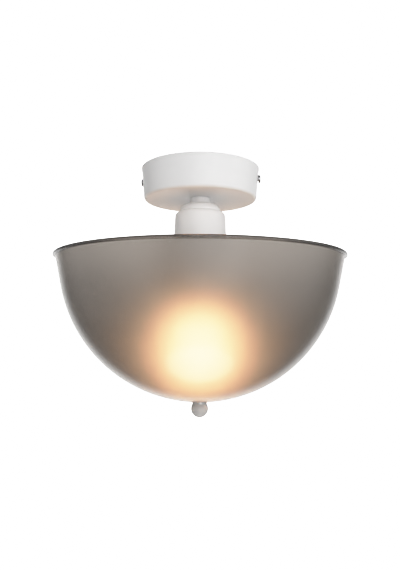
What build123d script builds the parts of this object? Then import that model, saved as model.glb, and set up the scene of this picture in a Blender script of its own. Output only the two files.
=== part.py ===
from build123d import *
import math
import os

os.makedirs("parts", exist_ok=True)

# Ceiling light with an open glass bowl, in millimetres.
# The origin is on the ceiling, on the lamp's axis, and everything hangs below it.

# Fits
thread_gap = 0.05  # radial room of a thread or a pressed piece in its hole
slip_gap = 0.3  # radial room where a piece only passes through, or moves past another

# Canopy, a drawn cup with a flared edge and a dished floor
canopy_height = 33.6
canopy_bottom_radius = 59.8
canopy_draft = 4.6  # degrees
canopy_wall = 1.2
canopy_corner = 3.2
canopy_dish = 2.8  # how far the floor's middle stands above its edge
canopy_seat_radius = 13.0  # of the floor's flat middle
canopy_flare = 0.8  # how far the edge stands out past the wall
canopy_edge_height = 0.9
canopy_flare_height = 3.5
canopy_flare_round = 6.0

# Ceiling bracket, a strap with bent ends
strap_width = 20.0
strap_thickness = 1.5
strap_bend = 1.5
strap_flange = 21.0
strap_end_round = 4.0
strap_wall_gap = 0.4
slot_spacing = 64.0
slot_length = 18.0
slot_width = 4.6
shank_end_gap = 0.2  # screws in the strap stop this far below the ceiling

# Side screws through the canopy into the bracket
side_screw_radius = 2.0
side_screw_drop = 11.4
side_screw_reach = 2.0  # what shows behind the bent end
side_head_radius = 4.2
side_head_height = 2.6
side_head_round = 1.8

# Terminal block with clamp tubes
pole_count = 3
pole_pitch = 9.0
pole_width = 7.6
pole_depth = 16.0
pole_height = 9.5
pole_round = 1.6
block_foot_width = 13.0
block_foot_height = 3.0
block_lug = 7.0
block_lug_round = 3.0
block_screw_radius = 1.5
block_head_radius = 2.7
block_head_height = 1.8
clamp_tube_wall = 0.9
clamp_tube_inset = 0.5  # of each end, in its pole
clamp_tube_above = 4.6  # from the block's lower face to the tube's axis
clamp_screw_radius = 1.3
clamp_screw_spacing = 9.0
clamp_screw_recess = 1.0

# Earth tag and screw on the strap
earth_screw_radius = 2.0
earth_head_radius = 3.6
earth_head_height = 2.4
tag_radius = 4.4
tag_thickness = 0.8
tag_barrel_wall = 0.6
tag_barrel_length = 6.0
tag_neck_length = 1.5

# Wires
wire_radius = 1.1
wire_side = 1.7  # from the lamp's axis to each wire in the tube
wire_end = 1.5  # from the lamp's middle plane to each wire's end in its clamp
wire_loop_back = 18.5  # how far the loops stand back from the lamp's axis
wire_bend_share = 0.44  # of the loop's height, taken by each of its two bends
wire_entry_round = 4.4
wire_fan_drop = 1.9
wire_fan_round = 2.6
earth_loop_back = 27.0
earth_loop_round = 9.0

# Threaded tube and its nuts
tube_radius = 5.0
tube_wall = 1.0
tube_end = 1.6  # thread that stands above the nut
tube_inset = 0.5  # from its lower end to the lampholder cap's inner face
nut_flats = 14.0
nut_height = 3.0
lock_washer_radius = 9.0
lock_washer_thickness = 1.0

# Stem sleeve between canopy and cup
sleeve_radius = 11.1
sleeve_height = 6.6
sleeve_round = 0.8

# Lamp cup
cup_height = 82.6
cup_wall = 1.0
cup_dome_radius = 21.7
cup_dome_round = 7.7
cup_dome_land = 0.7  # straight part under the dome's round
cup_shoulder_round = 5.0
cup_bottom_radius = 30.0

# Lampholder for a 27 mm screw cap
holder_cap_height = 24.0
holder_cap_round = 9.0
holder_boss_wall = 2.95
holder_boss_height = 6.0
holder_wall = 2.2
holder_spigot_height = 4.0
holder_spigot_wall = 1.6
holder_ledge = 1.5
holder_edge_round = 0.8
skirt_step = 0.6  # how far the skirt stands out past the cap
skirt_end = 0.5  # what shows below the shade ring
skirt_cover = 7.9  # how far the skirt reaches past the bulb's collar
insert_margin = 1.2  # from the shell to the insert's edge
insert_thickness = 6.0
insert_rib_width = 2.0
insert_rib_height = 2.5
shell_play = 0.35  # round the bulb's cap
shell_wall = 0.45
shell_length = 24.0
contact_width = 5.0
contact_half_length = 8.0
contact_thickness = 0.6
contact_drop = 2.8
terminal_spacing = 16.0
terminal_length = 5.0
terminal_width = 6.0
terminal_height = 3.4
terminal_depth = 2.0  # of its wire hole
terminal_screw_radius = 0.9
terminal_head_radius = 1.5
terminal_head_height = 1.2
shade_ring_width = 6.9
shade_ring_height = 6.0
shade_ring_grips = 16
shade_grip_radius = 1.3

# Bowl carrier
ring_thickness = 1.5
ear_width = 13.0
hoop_offset = 10.0  # from the cup's edge to the hoop
hoop_rod_radius = 2.0
hoop_bend = 16.0
hoop_end = 1.3  # thread that stands above its nut
hoop_nut_flats = 7.0
hoop_nut_height = 3.2
saddle_radius = 8.0
saddle_rod_height = 7.9  # from the saddle's lower face to the rod's axis
saddle_top_cover = 5.0  # from the rod's axis to the saddle's top
bulb_room = 25.4  # from the bulb's end to the saddle
saddle_round = 2.0
stud_radius = 3.0
stud_rod_gap = 1.0  # from the stud's upper end to the hoop

# Bowl, a round of glass with a wall that opens to a beaded lip
bowl_radius = 145.5
bowl_glass = 3.0
bowl_opening = 11.0  # degrees, of the straight wall above the round
bowl_rise = 4.5  # of the rim, above the round's centre
lip_width = 2.5
lip_round = 1.3
lip_land = 0.2  # straight part of the lip's side
bowl_washer_radius = 10.0
bowl_washer_thickness = 2.0
washer_pad_margin = 0.7  # of the ground flat, round the washer
bush_wall = 1.7
bush_flange_overlap = 2.2  # past the hole in the glass
bush_flange_thickness = 1.0
bush_below_saddle = 0.6

# Finial
finial_washer_radius = 7.3
finial_washer_thickness = 0.8
finial_ball_radius = 9.0
finial_neck_step = 1.4  # from the ball's side in to the neck's
finial_neck_height = 1.5
finial_end_wall = 3.3  # under the bore
finial_insert_wall = 1.45
finial_insert_length = 9.0
finial_bore_spare = 1.2  # room past the stud's end

# Bulb
bulb_gap = 0.3  # from the lampholder's contact to the bulb's tip
bulb_radius = 30.0
bulb_side_slope = 19.2  # degrees, from collar to round end
bulb_wall = 1.2
bulb_cap_radius = 13.1
bulb_cap_length = 22.0
bulb_cap_round = 2.0
bulb_tip_radius = 4.6
bulb_tip_height = 2.0
bulb_insulator_radius = 6.2
bulb_insulator_height = 3.0
bulb_collar_step = 0.9  # how far the collar stands out past the cap
bulb_housing_height = 31.5
board_thickness = 1.6
board_edge_gap = 1.0
light_chip_count = 8
light_chip_size = 3.0
light_chip_height = 0.8

# Radii, worked out from the inside of each group
canopy_slope = math.tan(math.radians(canopy_draft))
tube_hole_radius = tube_radius + slip_gap
tube_bore_radius = tube_radius - tube_wall
cup_shoulder_radius = cup_dome_radius + cup_shoulder_round
shell_radius = bulb_cap_radius + shell_play + shell_wall
insert_radius = shell_radius + insert_margin
spigot_bore_radius = insert_radius + thread_gap
spigot_radius = spigot_bore_radius + holder_spigot_wall
holder_cap_bore_radius = spigot_radius + thread_gap
holder_cap_radius = holder_cap_bore_radius + holder_wall
holder_boss_radius = tube_radius + thread_gap + holder_boss_wall
skirt_radius = holder_cap_radius + skirt_step
skirt_bore_radius = skirt_radius - holder_wall
shade_ring_radius = skirt_radius + shade_ring_width
hoop_half_width = cup_bottom_radius + hoop_offset
stud_pass_radius = stud_radius + slip_gap
bush_radius = stud_pass_radius + bush_wall
glass_hole_radius = bush_radius + slip_gap
bush_flange_radius = glass_hole_radius + bush_flange_overlap
finial_insert_radius = stud_radius + thread_gap + finial_insert_wall
finial_neck_radius = finial_ball_radius - finial_neck_step
finial_ball_drop = math.sqrt(finial_ball_radius**2 - finial_neck_radius**2)
lip_height = 2 * lip_round + lip_land
bowl_inside_radius = bowl_radius - bowl_glass
washer_pad_radius = bowl_washer_radius + washer_pad_margin
bowl_flat_depth = bowl_inside_radius - math.sqrt(bowl_inside_radius**2 - washer_pad_radius**2)

# The bulb's side runs straight from its collar to where it touches the round end
side_angle = math.radians(bulb_side_slope)
bulb_collar_radius = bulb_cap_radius + bulb_collar_step
bulb_side_length = (bulb_radius * math.cos(side_angle) - bulb_collar_radius) / math.tan(side_angle)

# Heights, worked out from the ceiling down
canopy_bottom = -canopy_height
canopy_seat = canopy_bottom + canopy_dish
canopy_floor = canopy_seat + canopy_wall
tube_nut_bottom = canopy_floor + lock_washer_thickness
tube_nut_top = tube_nut_bottom + nut_height
tube_top = tube_nut_top + tube_end
cup_top = canopy_seat - sleeve_height
cup_step = cup_top - cup_dome_round - cup_dome_land
cup_bottom = cup_top - cup_height
ring_bottom = cup_bottom - ring_thickness
shade_ring_bottom = ring_bottom - shade_ring_height
skirt_bottom = shade_ring_bottom - skirt_end
bulb_cap_bottom = skirt_bottom + skirt_cover
bulb_cap_top = bulb_cap_bottom + bulb_cap_length
bulb_tip_bottom = bulb_cap_top + bulb_insulator_height
bulb_top = bulb_tip_bottom + bulb_tip_height
contact_tip = bulb_top + bulb_gap
holder_joint = contact_tip + contact_drop
holder_top = holder_joint + holder_cap_height
holder_boss_bottom = holder_top - holder_boss_height
holder_cap_ceiling = holder_boss_bottom - holder_wall
insert_top = holder_joint + insert_thickness
tube_bottom = holder_cap_ceiling + tube_inset
terminal_top = insert_top + terminal_height
terminal_screw_height = insert_top + terminal_height / 2
bulb_joint = bulb_cap_bottom - bulb_housing_height
bulb_touch = bulb_cap_bottom - bulb_side_length
bulb_centre = bulb_touch - bulb_radius * math.sin(side_angle)
bulb_bottom = bulb_centre - bulb_radius
saddle_top = bulb_bottom - bulb_room
hoop_bar = saddle_top - saddle_top_cover
saddle_bottom = hoop_bar - saddle_rod_height
stud_top = hoop_bar - hoop_rod_radius - stud_rod_gap
glass_upper_flat = saddle_bottom - bowl_washer_thickness
glass_lower_flat = glass_upper_flat - bowl_glass
bowl_centre = glass_lower_flat - bowl_flat_depth + bowl_radius
rim = bowl_centre + bowl_rise
lip_bottom = rim - lip_height
bush_bottom = glass_lower_flat - bush_flange_thickness
finial_washer_bottom = bush_bottom - finial_washer_thickness
finial_centre = finial_washer_bottom - finial_neck_height - finial_ball_drop
finial_bore_end = finial_centre - finial_ball_radius + finial_end_wall
stud_bottom = finial_bore_end + finial_bore_spare

# Places on the strap and the terminal block
block_top = -strap_thickness
block_foot_bottom = block_top - block_foot_height
block_bottom = block_foot_bottom - pole_height
clamp_axis = block_bottom + clamp_tube_above
clamp_bore_radius = wire_radius + slip_gap
clamp_tube_radius = clamp_bore_radius + clamp_tube_wall
clamp_tube_length = pole_depth - 2 * clamp_tube_inset
outer_pole = pole_pitch * (pole_count - 1) / 2
earth_pole = pole_pitch - outer_pole
terminal_face = terminal_spacing / 2 + terminal_length / 2
block_length = pole_count * pole_pitch + 2 * block_lug
block_screw_spacing = block_length - block_lug


def canopy_radius(height):
    """Outside radius of the canopy's straight wall at a height."""
    return canopy_bottom_radius + (height - canopy_bottom) * canopy_slope


def bowl_wall(height, round_radius):
    """Radius of the bowl's straight wall at a height, above a round of this radius."""
    opening = math.radians(bowl_opening)
    start = bowl_centre - round_radius * math.sin(opening)
    return round_radius * math.cos(opening) + (height - start) * math.tan(opening)


def outline(*corners):
    """Draw a closed outline from corners given as (x, y, round)."""
    points = [(x, y) for x, y, _ in corners]
    FilletPolyline(points, radius=[bend for _, _, bend in corners], close=True)


flare_radius = canopy_radius(-canopy_flare_height)
canopy_edge_radius = flare_radius + canopy_flare
strap_reach = math.sqrt((canopy_radius(-strap_flange) - canopy_wall) ** 2 - (strap_width / 2) ** 2)
strap_half_length = strap_reach - strap_wall_gap
strap_inner_length = strap_half_length - strap_thickness
earth_place = strap_inner_length - strap_bend - slip_gap - tag_radius
tag_bottom = -strap_thickness - tag_thickness
tag_barrel_radius = wire_radius + thread_gap + tag_barrel_wall
tag_barrel_axis = -strap_thickness - tag_barrel_radius
tag_barrel_start = tag_radius + tag_neck_length
side_head_seat = canopy_radius(side_head_radius - side_screw_drop)


def bulb_side(height):
    """Radius of the bulb's straight side at a height."""
    return bulb_collar_radius + (bulb_cap_bottom - height) * math.tan(side_angle)


# Ceiling bracket
with BuildPart() as ceiling_bracket:
    with BuildSketch(Plane.XZ):
        with BuildLine():
            outline(
                (-strap_half_length, 0, strap_bend + strap_thickness),
                (strap_half_length, 0, strap_bend + strap_thickness),
                (strap_half_length, -strap_flange, 0),
                (strap_inner_length, -strap_flange, 0),
                (strap_inner_length, -strap_thickness, strap_bend),
                (-strap_inner_length, -strap_thickness, strap_bend),
                (-strap_inner_length, -strap_flange, 0),
                (-strap_half_length, -strap_flange, 0),
            )
        make_face()
    extrude(amount=strap_width / 2, both=True)
    flange_corners = ceiling_bracket.edges().filter_by(Axis.X).group_by(Axis.Z)[0]
    fillet(flange_corners, strap_end_round)
    with BuildSketch(Plane.XY):
        with GridLocations(slot_spacing, slot_spacing, 2, 1):
            SlotOverall(slot_length, slot_width)
        with GridLocations(block_screw_spacing, block_screw_spacing, 2, 1):
            Circle(block_screw_radius + thread_gap)
        with Locations((earth_place, 0)):
            Circle(earth_screw_radius + thread_gap)
    extrude(amount=-strap_thickness, mode=Mode.SUBTRACT)
    with BuildSketch(Plane.YZ):
        with Locations((0, -side_screw_drop)):
            Circle(side_screw_radius + thread_gap)
    extrude(amount=strap_half_length, both=True, mode=Mode.SUBTRACT)

# Canopy
with BuildPart() as canopy:
    with BuildSketch(Plane.XZ):
        with BuildLine():
            outline(
                (tube_hole_radius, canopy_seat, 0),
                (canopy_seat_radius, canopy_seat, 0),
                (canopy_bottom_radius, canopy_bottom, canopy_corner),
                (flare_radius, -canopy_flare_height, canopy_flare_round),
                (canopy_edge_radius, -canopy_edge_height, canopy_edge_height),
                (canopy_edge_radius, 0, 0),
                (canopy_edge_radius - canopy_wall, 0, 0),
                (canopy_edge_radius - canopy_wall, -canopy_edge_height, canopy_edge_height),
                (flare_radius - canopy_wall, -canopy_flare_height, canopy_flare_round),
                (
                    canopy_bottom_radius - canopy_wall,
                    canopy_bottom + canopy_wall,
                    canopy_corner - canopy_wall,
                ),
                (canopy_seat_radius, canopy_floor, 0),
                (tube_hole_radius, canopy_floor, 0),
            )
        make_face()
    revolve(axis=Axis.Z)
    with BuildSketch(Plane.YZ):
        with Locations((0, -side_screw_drop)):
            Circle(side_screw_radius + slip_gap)
    extrude(amount=canopy_edge_radius, both=True, mode=Mode.SUBTRACT)

# Side screws, one at each end of the bracket
with BuildPart() as canopy_side_screws:
    side_plane = Plane(origin=(side_head_seat, 0, -side_screw_drop), z_dir=(1, 0, 0))
    with BuildSketch(side_plane):
        Circle(side_head_radius)
    extrude(amount=side_head_height)
    fillet(canopy_side_screws.edges().sort_by(Axis.X)[-1], side_head_round)
    with BuildSketch(side_plane):
        Circle(side_screw_radius)
    extrude(amount=strap_inner_length - side_screw_reach - side_head_seat)
    mirror(about=Plane.YZ)

# Terminal block
with BuildPart() as terminal_block:
    with BuildSketch(Plane.XY.offset(block_top)):
        RectangleRounded(block_length, block_foot_width, block_lug_round)
    extrude(amount=-block_foot_height)
    with BuildSketch(Plane.XY.offset(block_foot_bottom)):
        with GridLocations(pole_pitch, pole_pitch, pole_count, 1):
            RectangleRounded(pole_width, pole_depth, pole_round)
    extrude(amount=-pole_height)
    with BuildSketch(Plane.XZ):
        with Locations((0, clamp_axis)):
            with GridLocations(pole_pitch, pole_pitch, pole_count, 1):
                Circle(clamp_tube_radius + thread_gap)
    extrude(amount=pole_depth, both=True, mode=Mode.SUBTRACT)
    with BuildSketch(Plane.XY.offset(block_bottom)):
        with GridLocations(pole_pitch, clamp_screw_spacing, pole_count, 2):
            Circle(clamp_screw_radius + slip_gap)
    extrude(amount=clamp_tube_above, mode=Mode.SUBTRACT)
    with BuildSketch(Plane.XY.offset(block_top)):
        with GridLocations(block_screw_spacing, block_screw_spacing, 2, 1):
            Circle(block_screw_radius + slip_gap)
    extrude(amount=-block_foot_height, mode=Mode.SUBTRACT)

# Clamp tubes of the terminal block
with BuildPart() as terminal_tubes:
    with BuildSketch(Plane.XZ):
        with Locations((0, clamp_axis)):
            with GridLocations(pole_pitch, pole_pitch, pole_count, 1):
                Circle(clamp_tube_radius)
                Circle(clamp_bore_radius, mode=Mode.SUBTRACT)
    extrude(amount=clamp_tube_length / 2, both=True)
    with BuildSketch(Plane.XY.offset(block_bottom)):
        with GridLocations(pole_pitch, clamp_screw_spacing, pole_count, 2):
            Circle(clamp_screw_radius + thread_gap)
    extrude(amount=clamp_tube_above, mode=Mode.SUBTRACT)

# Clamp screws, two to a pole, just short of the wire
with BuildPart() as terminal_screws:
    with BuildSketch(Plane.XY.offset(block_bottom + clamp_screw_recess)):
        with GridLocations(pole_pitch, clamp_screw_spacing, pole_count, 2):
            Circle(clamp_screw_radius)
    extrude(amount=clamp_tube_above - clamp_screw_recess - wire_radius - thread_gap)

# Screws that hold the terminal block to the strap
with BuildPart() as block_screws:
    with BuildSketch(Plane.XY.offset(block_foot_bottom)):
        with GridLocations(block_screw_spacing, block_screw_spacing, 2, 1):
            Circle(block_head_radius)
    extrude(amount=-block_head_height)
    with BuildSketch(Plane.XY.offset(block_foot_bottom)):
        with GridLocations(block_screw_spacing, block_screw_spacing, 2, 1):
            Circle(block_screw_radius)
    extrude(amount=block_foot_height + strap_thickness - shank_end_gap)

# Earth tag: a ring under the screw and a crimped barrel for the wire
with BuildPart() as earth_tag:
    with BuildSketch(Plane.XY.offset(tag_bottom)):
        with Locations((earth_place, 0)):
            Circle(tag_radius)
            Rectangle(2 * tag_barrel_radius, tag_barrel_start, align=(Align.CENTER, Align.MAX))
            Circle(earth_screw_radius + slip_gap, mode=Mode.SUBTRACT)
    extrude(amount=tag_thickness)
    with BuildSketch(Plane.XZ.offset(tag_radius)):
        with Locations((earth_place, tag_barrel_axis)):
            Circle(tag_barrel_radius)
    extrude(amount=tag_neck_length + tag_barrel_length)
    with BuildSketch(Plane.XZ.offset(tag_barrel_start)):
        with Locations((earth_place, tag_barrel_axis)):
            Circle(wire_radius + thread_gap)
    extrude(amount=tag_barrel_length, mode=Mode.SUBTRACT)

# Earth screw
with BuildPart() as earth_screw:
    with BuildSketch(Plane.XY.offset(tag_bottom)):
        with Locations((earth_place, 0)):
            Circle(earth_head_radius)
    extrude(amount=-earth_head_height)
    with BuildSketch(Plane.XY.offset(tag_bottom)):
        with Locations((earth_place, 0)):
            Circle(earth_screw_radius)
    extrude(amount=tag_thickness + strap_thickness - shank_end_gap)

# Threaded tube that carries the lamp, hollow for the wires
with BuildPart() as threaded_tube:
    with BuildSketch(Plane.XY.offset(tube_bottom)):
        Circle(tube_radius)
        Circle(tube_bore_radius, mode=Mode.SUBTRACT)
    extrude(amount=tube_top - tube_bottom)

# Lock washer on the canopy's floor
with BuildPart() as tube_lock_washer:
    with BuildSketch(Plane.XY.offset(canopy_floor)):
        Circle(lock_washer_radius)
        Circle(tube_hole_radius, mode=Mode.SUBTRACT)
    extrude(amount=lock_washer_thickness)

# Lock nut in the canopy
with BuildPart() as tube_lock_nut:
    with BuildSketch(Plane.XY.offset(tube_nut_bottom)):
        RegularPolygon(nut_flats / 2, 6, major_radius=False)
        Circle(tube_radius + thread_gap, mode=Mode.SUBTRACT)
    extrude(amount=nut_height)

# Stem sleeve
with BuildPart() as stem_sleeve:
    with BuildSketch(Plane.XZ):
        with BuildLine():
            outline(
                (tube_hole_radius, canopy_seat, 0),
                (sleeve_radius, canopy_seat, sleeve_round),
                (sleeve_radius, cup_top, 0),
                (tube_hole_radius, cup_top, 0),
            )
        make_face()
    revolve(axis=Axis.Z)

# Lamp cup, with a domed step on its shoulder
with BuildPart() as lamp_cup:
    with BuildSketch(Plane.XZ):
        with BuildLine():
            outline(
                (tube_hole_radius, cup_top, 0),
                (cup_dome_radius, cup_top, cup_dome_round),
                (cup_dome_radius, cup_step, 0),
                (cup_shoulder_radius, cup_step, cup_shoulder_round),
                (cup_bottom_radius, cup_bottom, 0),
                (cup_bottom_radius - cup_wall, cup_bottom, 0),
                (cup_shoulder_radius - cup_wall, cup_step - cup_wall, cup_shoulder_round - cup_wall),
                (cup_dome_radius - cup_wall, cup_step - cup_wall, 0),
                (cup_dome_radius - cup_wall, cup_top - cup_wall, cup_dome_round - cup_wall),
                (tube_hole_radius, cup_top - cup_wall, 0),
            )
        make_face()
    revolve(axis=Axis.Z)

# Lock nut under the cup's top
with BuildPart() as cup_lock_nut:
    with BuildSketch(Plane.XY.offset(cup_top - cup_wall)):
        RegularPolygon(nut_flats / 2, 6, major_radius=False)
        Circle(tube_radius + thread_gap, mode=Mode.SUBTRACT)
    extrude(amount=-nut_height)

# Lampholder cap, screwed on the tube
with BuildPart() as lampholder_cap:
    with BuildSketch(Plane.XZ):
        with BuildLine():
            outline(
                (tube_radius + thread_gap, holder_top, 0),
                (holder_boss_radius, holder_top, holder_edge_round),
                (holder_boss_radius, holder_boss_bottom, 0),
                (holder_cap_radius, holder_boss_bottom, holder_cap_round),
                (holder_cap_radius, holder_joint, 0),
                (holder_cap_bore_radius, holder_joint, 0),
                (holder_cap_bore_radius, holder_cap_ceiling, holder_cap_round - holder_wall),
                (tube_radius + thread_gap, holder_cap_ceiling, 0),
            )
        make_face()
    revolve(axis=Axis.Z)

# Lampholder skirt: spigot into the cap, ledge under the insert, threaded outside
with BuildPart() as lampholder_skirt:
    with BuildSketch(Plane.XZ):
        with BuildLine():
            ledge_radius = shell_radius + slip_gap
            outline(
                (spigot_bore_radius, holder_joint + holder_spigot_height, 0),
                (spigot_radius, holder_joint + holder_spigot_height, 0),
                (spigot_radius, holder_joint, 0),
                (skirt_radius, holder_joint, 0),
                (skirt_radius, skirt_bottom, holder_edge_round),
                (skirt_bore_radius, skirt_bottom, holder_edge_round),
                (skirt_bore_radius, holder_joint - holder_ledge, 0),
                (ledge_radius, holder_joint - holder_ledge, 0),
                (ledge_radius, holder_joint, 0),
                (spigot_bore_radius, holder_joint, 0),
            )
        make_face()
    revolve(axis=Axis.Z)

# Ceramic insert, with a rib between its two terminals
with BuildPart() as lampholder_insert:
    with BuildSketch(Plane.XY.offset(holder_joint)):
        Circle(insert_radius)
    extrude(amount=insert_thickness)
    fillet(lampholder_insert.edges().sort_by(Axis.Z)[-1], holder_edge_round)
    with BuildSketch(Plane.XY.offset(insert_top)):
        Rectangle(insert_rib_width, 2 * shell_radius - insert_rib_width)
    extrude(amount=insert_rib_height)

# Screw shell
with BuildPart() as lampholder_shell:
    with BuildSketch(Plane.XY.offset(holder_joint)):
        Circle(shell_radius)
        Circle(shell_radius - shell_wall, mode=Mode.SUBTRACT)
    extrude(amount=-shell_length)

# Centre contact, a bent spring strip
with BuildPart() as centre_contact:
    with BuildSketch(Plane.XZ):
        with BuildLine():
            outline(
                (-contact_half_length, holder_joint, 0),
                (-contact_half_length / 2, holder_joint, contact_thickness),
                (0, contact_tip + contact_thickness, contact_thickness),
                (contact_width / 2, contact_tip + contact_thickness, 0),
                (contact_width / 2, contact_tip, 0),
                (0, contact_tip, contact_thickness),
                (-contact_half_length / 2, holder_joint - contact_thickness, contact_thickness),
                (-contact_half_length, holder_joint - contact_thickness, 0),
            )
        make_face()
    extrude(amount=contact_width / 2, both=True)

# Wire terminals on the insert
with BuildPart() as lampholder_terminals:
    with BuildSketch(Plane.XY.offset(insert_top)):
        with GridLocations(terminal_spacing, terminal_spacing, 2, 1):
            Rectangle(terminal_length, terminal_width)
    extrude(amount=terminal_height)
    with BuildSketch(Plane.XY.offset(terminal_top)):
        with GridLocations(terminal_spacing, terminal_spacing, 2, 1):
            Circle(wire_radius + thread_gap)
    extrude(amount=-terminal_depth, mode=Mode.SUBTRACT)
    with BuildSketch(Plane.YZ):
        with Locations((0, terminal_screw_height)):
            Circle(terminal_screw_radius + thread_gap)
    extrude(amount=terminal_face, both=True, mode=Mode.SUBTRACT)

# Screws of the wire terminals
with BuildPart() as terminal_clamp_screws:
    face_plane = Plane(origin=(terminal_face, 0, terminal_screw_height), z_dir=(1, 0, 0))
    with BuildSketch(face_plane):
        Circle(terminal_head_radius)
    extrude(amount=terminal_head_height)
    with BuildSketch(face_plane):
        Circle(terminal_screw_radius)
    extrude(amount=wire_radius + 2 * thread_gap - terminal_length / 2)
    mirror(about=Plane.YZ)

# Shade ring, screwed on the skirt, with grips round its edge
with BuildPart() as shade_ring:
    with BuildSketch(Plane.XZ):
        with BuildLine():
            outline(
                (skirt_radius + thread_gap, ring_bottom, 0),
                (shade_ring_radius, ring_bottom, holder_edge_round),
                (shade_ring_radius, shade_ring_bottom, holder_edge_round),
                (skirt_radius + thread_gap, shade_ring_bottom, 0),
            )
        make_face()
    revolve(axis=Axis.Z)
    with BuildSketch(Plane.XY.offset(ring_bottom)):
        with PolarLocations(shade_ring_radius, shade_ring_grips):
            Circle(shade_grip_radius)
    extrude(amount=-shade_ring_height, mode=Mode.SUBTRACT)

# Carrier ring under the cup, with an ear for each end of the hoop
with BuildPart() as carrier_ring:
    with BuildSketch(Plane.XY.offset(ring_bottom)):
        SlotOverall(2 * hoop_half_width + ear_width, ear_width)
        Circle(cup_bottom_radius)
        Circle(skirt_radius + slip_gap, mode=Mode.SUBTRACT)
        with GridLocations(2 * hoop_half_width, 2 * hoop_half_width, 2, 1):
            Circle(hoop_rod_radius + slip_gap, mode=Mode.SUBTRACT)
    extrude(amount=ring_thickness)

# Carrier hoop, one bent rod round the bulb
with BuildPart() as carrier_hoop:
    with BuildLine(Plane.XZ) as hoop_route:
        hoop_top = cup_bottom + hoop_nut_height + hoop_end
        FilletPolyline(
            (-hoop_half_width, hoop_top),
            (-hoop_half_width, hoop_bar),
            (hoop_half_width, hoop_bar),
            (hoop_half_width, hoop_top),
            radius=hoop_bend,
        )
    with BuildSketch(Plane(origin=hoop_route.line @ 0, z_dir=hoop_route.line % 0)):
        Circle(hoop_rod_radius)
    sweep()

# Nuts above and below each ear
with BuildPart() as hoop_nuts:
    for face, side in ((cup_bottom, 1), (ring_bottom, -1)):
        with BuildSketch(Plane.XY.offset(face)):
            with GridLocations(2 * hoop_half_width, 2 * hoop_half_width, 2, 1):
                RegularPolygon(hoop_nut_flats / 2, 6, major_radius=False)
                Circle(hoop_rod_radius + thread_gap, mode=Mode.SUBTRACT)
        extrude(amount=side * hoop_nut_height)

# Saddle on the middle of the hoop
with BuildPart() as carrier_saddle:
    with BuildSketch(Plane.XZ):
        with BuildLine():
            outline(
                (0, saddle_top, 0),
                (saddle_radius, saddle_top, saddle_round),
                (saddle_radius, saddle_bottom, 0),
                (0, saddle_bottom, 0),
            )
        make_face()
    revolve(axis=Axis.Z)
    with BuildSketch(Plane.YZ):
        with Locations((0, hoop_bar)):
            Circle(hoop_rod_radius + thread_gap)
    extrude(amount=saddle_radius, both=True, mode=Mode.SUBTRACT)
    with BuildSketch(Plane.XY.offset(saddle_bottom)):
        Circle(stud_radius + thread_gap)
    extrude(amount=stud_top - saddle_bottom, mode=Mode.SUBTRACT)

# Threaded stud under the saddle
with BuildPart() as carrier_stud:
    with BuildSketch(Plane.XY.offset(stud_top)):
        Circle(stud_radius)
    extrude(amount=stud_bottom - stud_top)

# Glass bowl
with BuildPart() as bowl:
    with BuildSketch(Plane.XZ) as bowl_section:
        with BuildLine():
            outer_end = math.degrees(math.asin((bowl_centre - glass_lower_flat) / bowl_radius))
            inner_end = math.degrees(math.asin((bowl_centre - glass_upper_flat) / bowl_inside_radius))
            outer_sweep = bowl_opening - outer_end
            inner_sweep = bowl_opening - inner_end
            outside = CenterArc((0, bowl_centre), bowl_radius, -bowl_opening, outer_sweep)
            inside = CenterArc((0, bowl_centre), bowl_inside_radius, -bowl_opening, inner_sweep)
            lip_root = bowl_wall(lip_bottom, bowl_radius)
            Polyline(
                inside @ 0,
                (bowl_wall(rim, bowl_inside_radius), rim),
                (lip_root + lip_width, rim),
                (lip_root + lip_width, lip_bottom),
                (lip_root, lip_bottom),
                outside @ 0,
            )
            Polyline(
                outside @ 1,
                (glass_hole_radius, glass_lower_flat),
                (glass_hole_radius, glass_upper_flat),
                inside @ 1,
            )
        make_face()
        fillet(bowl_section.vertices().group_by(Axis.X)[-1], lip_round)
        fillet(bowl_section.vertices().group_by(Axis.Y)[-1].sort_by(Axis.X)[0], lip_round)
    revolve(axis=Axis.Z)

# Rubber washer between the glass and the saddle
with BuildPart() as bowl_washer:
    with BuildSketch(Plane.XY.offset(glass_upper_flat)):
        Circle(bowl_washer_radius)
        Circle(glass_hole_radius, mode=Mode.SUBTRACT)
    extrude(amount=bowl_washer_thickness)

# Flanged bush that keeps the stud off the glass
with BuildPart() as bowl_bush:
    with BuildSketch(Plane.XZ):
        with BuildLine():
            outline(
                (stud_pass_radius, bush_bottom, 0),
                (bush_flange_radius, bush_bottom, 0),
                (bush_flange_radius, glass_lower_flat, 0),
                (bush_radius, glass_lower_flat, 0),
                (bush_radius, saddle_bottom - bush_below_saddle, 0),
                (stud_pass_radius, saddle_bottom - bush_below_saddle, 0),
            )
        make_face()
    revolve(axis=Axis.Z)

# Washer between bush and finial
with BuildPart() as finial_washer:
    with BuildSketch(Plane.XY.offset(finial_washer_bottom)):
        Circle(finial_washer_radius)
        Circle(stud_pass_radius, mode=Mode.SUBTRACT)
    extrude(amount=finial_washer_thickness)

# Finial: a ball on a short neck, bored for its threaded insert
with BuildPart() as finial_ball:
    with BuildSketch(Plane.XZ):
        with BuildLine():
            neck_angle = math.degrees(math.atan2(finial_ball_drop, finial_neck_radius))
            ball = CenterArc((0, finial_centre), finial_ball_radius, neck_angle, -90 - neck_angle)
            Polyline(
                ball @ 0,
                (finial_neck_radius, finial_washer_bottom),
                (0, finial_washer_bottom),
                ball @ 1,
            )
        make_face()
    revolve(axis=Axis.Z)
    with BuildSketch(Plane.XY.offset(finial_washer_bottom)):
        Circle(finial_insert_radius + thread_gap)
    extrude(amount=-finial_insert_length, mode=Mode.SUBTRACT)
    with BuildSketch(Plane.XY.offset(finial_washer_bottom)):
        Circle(stud_pass_radius)
    extrude(amount=finial_bore_end - finial_washer_bottom, mode=Mode.SUBTRACT)

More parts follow.
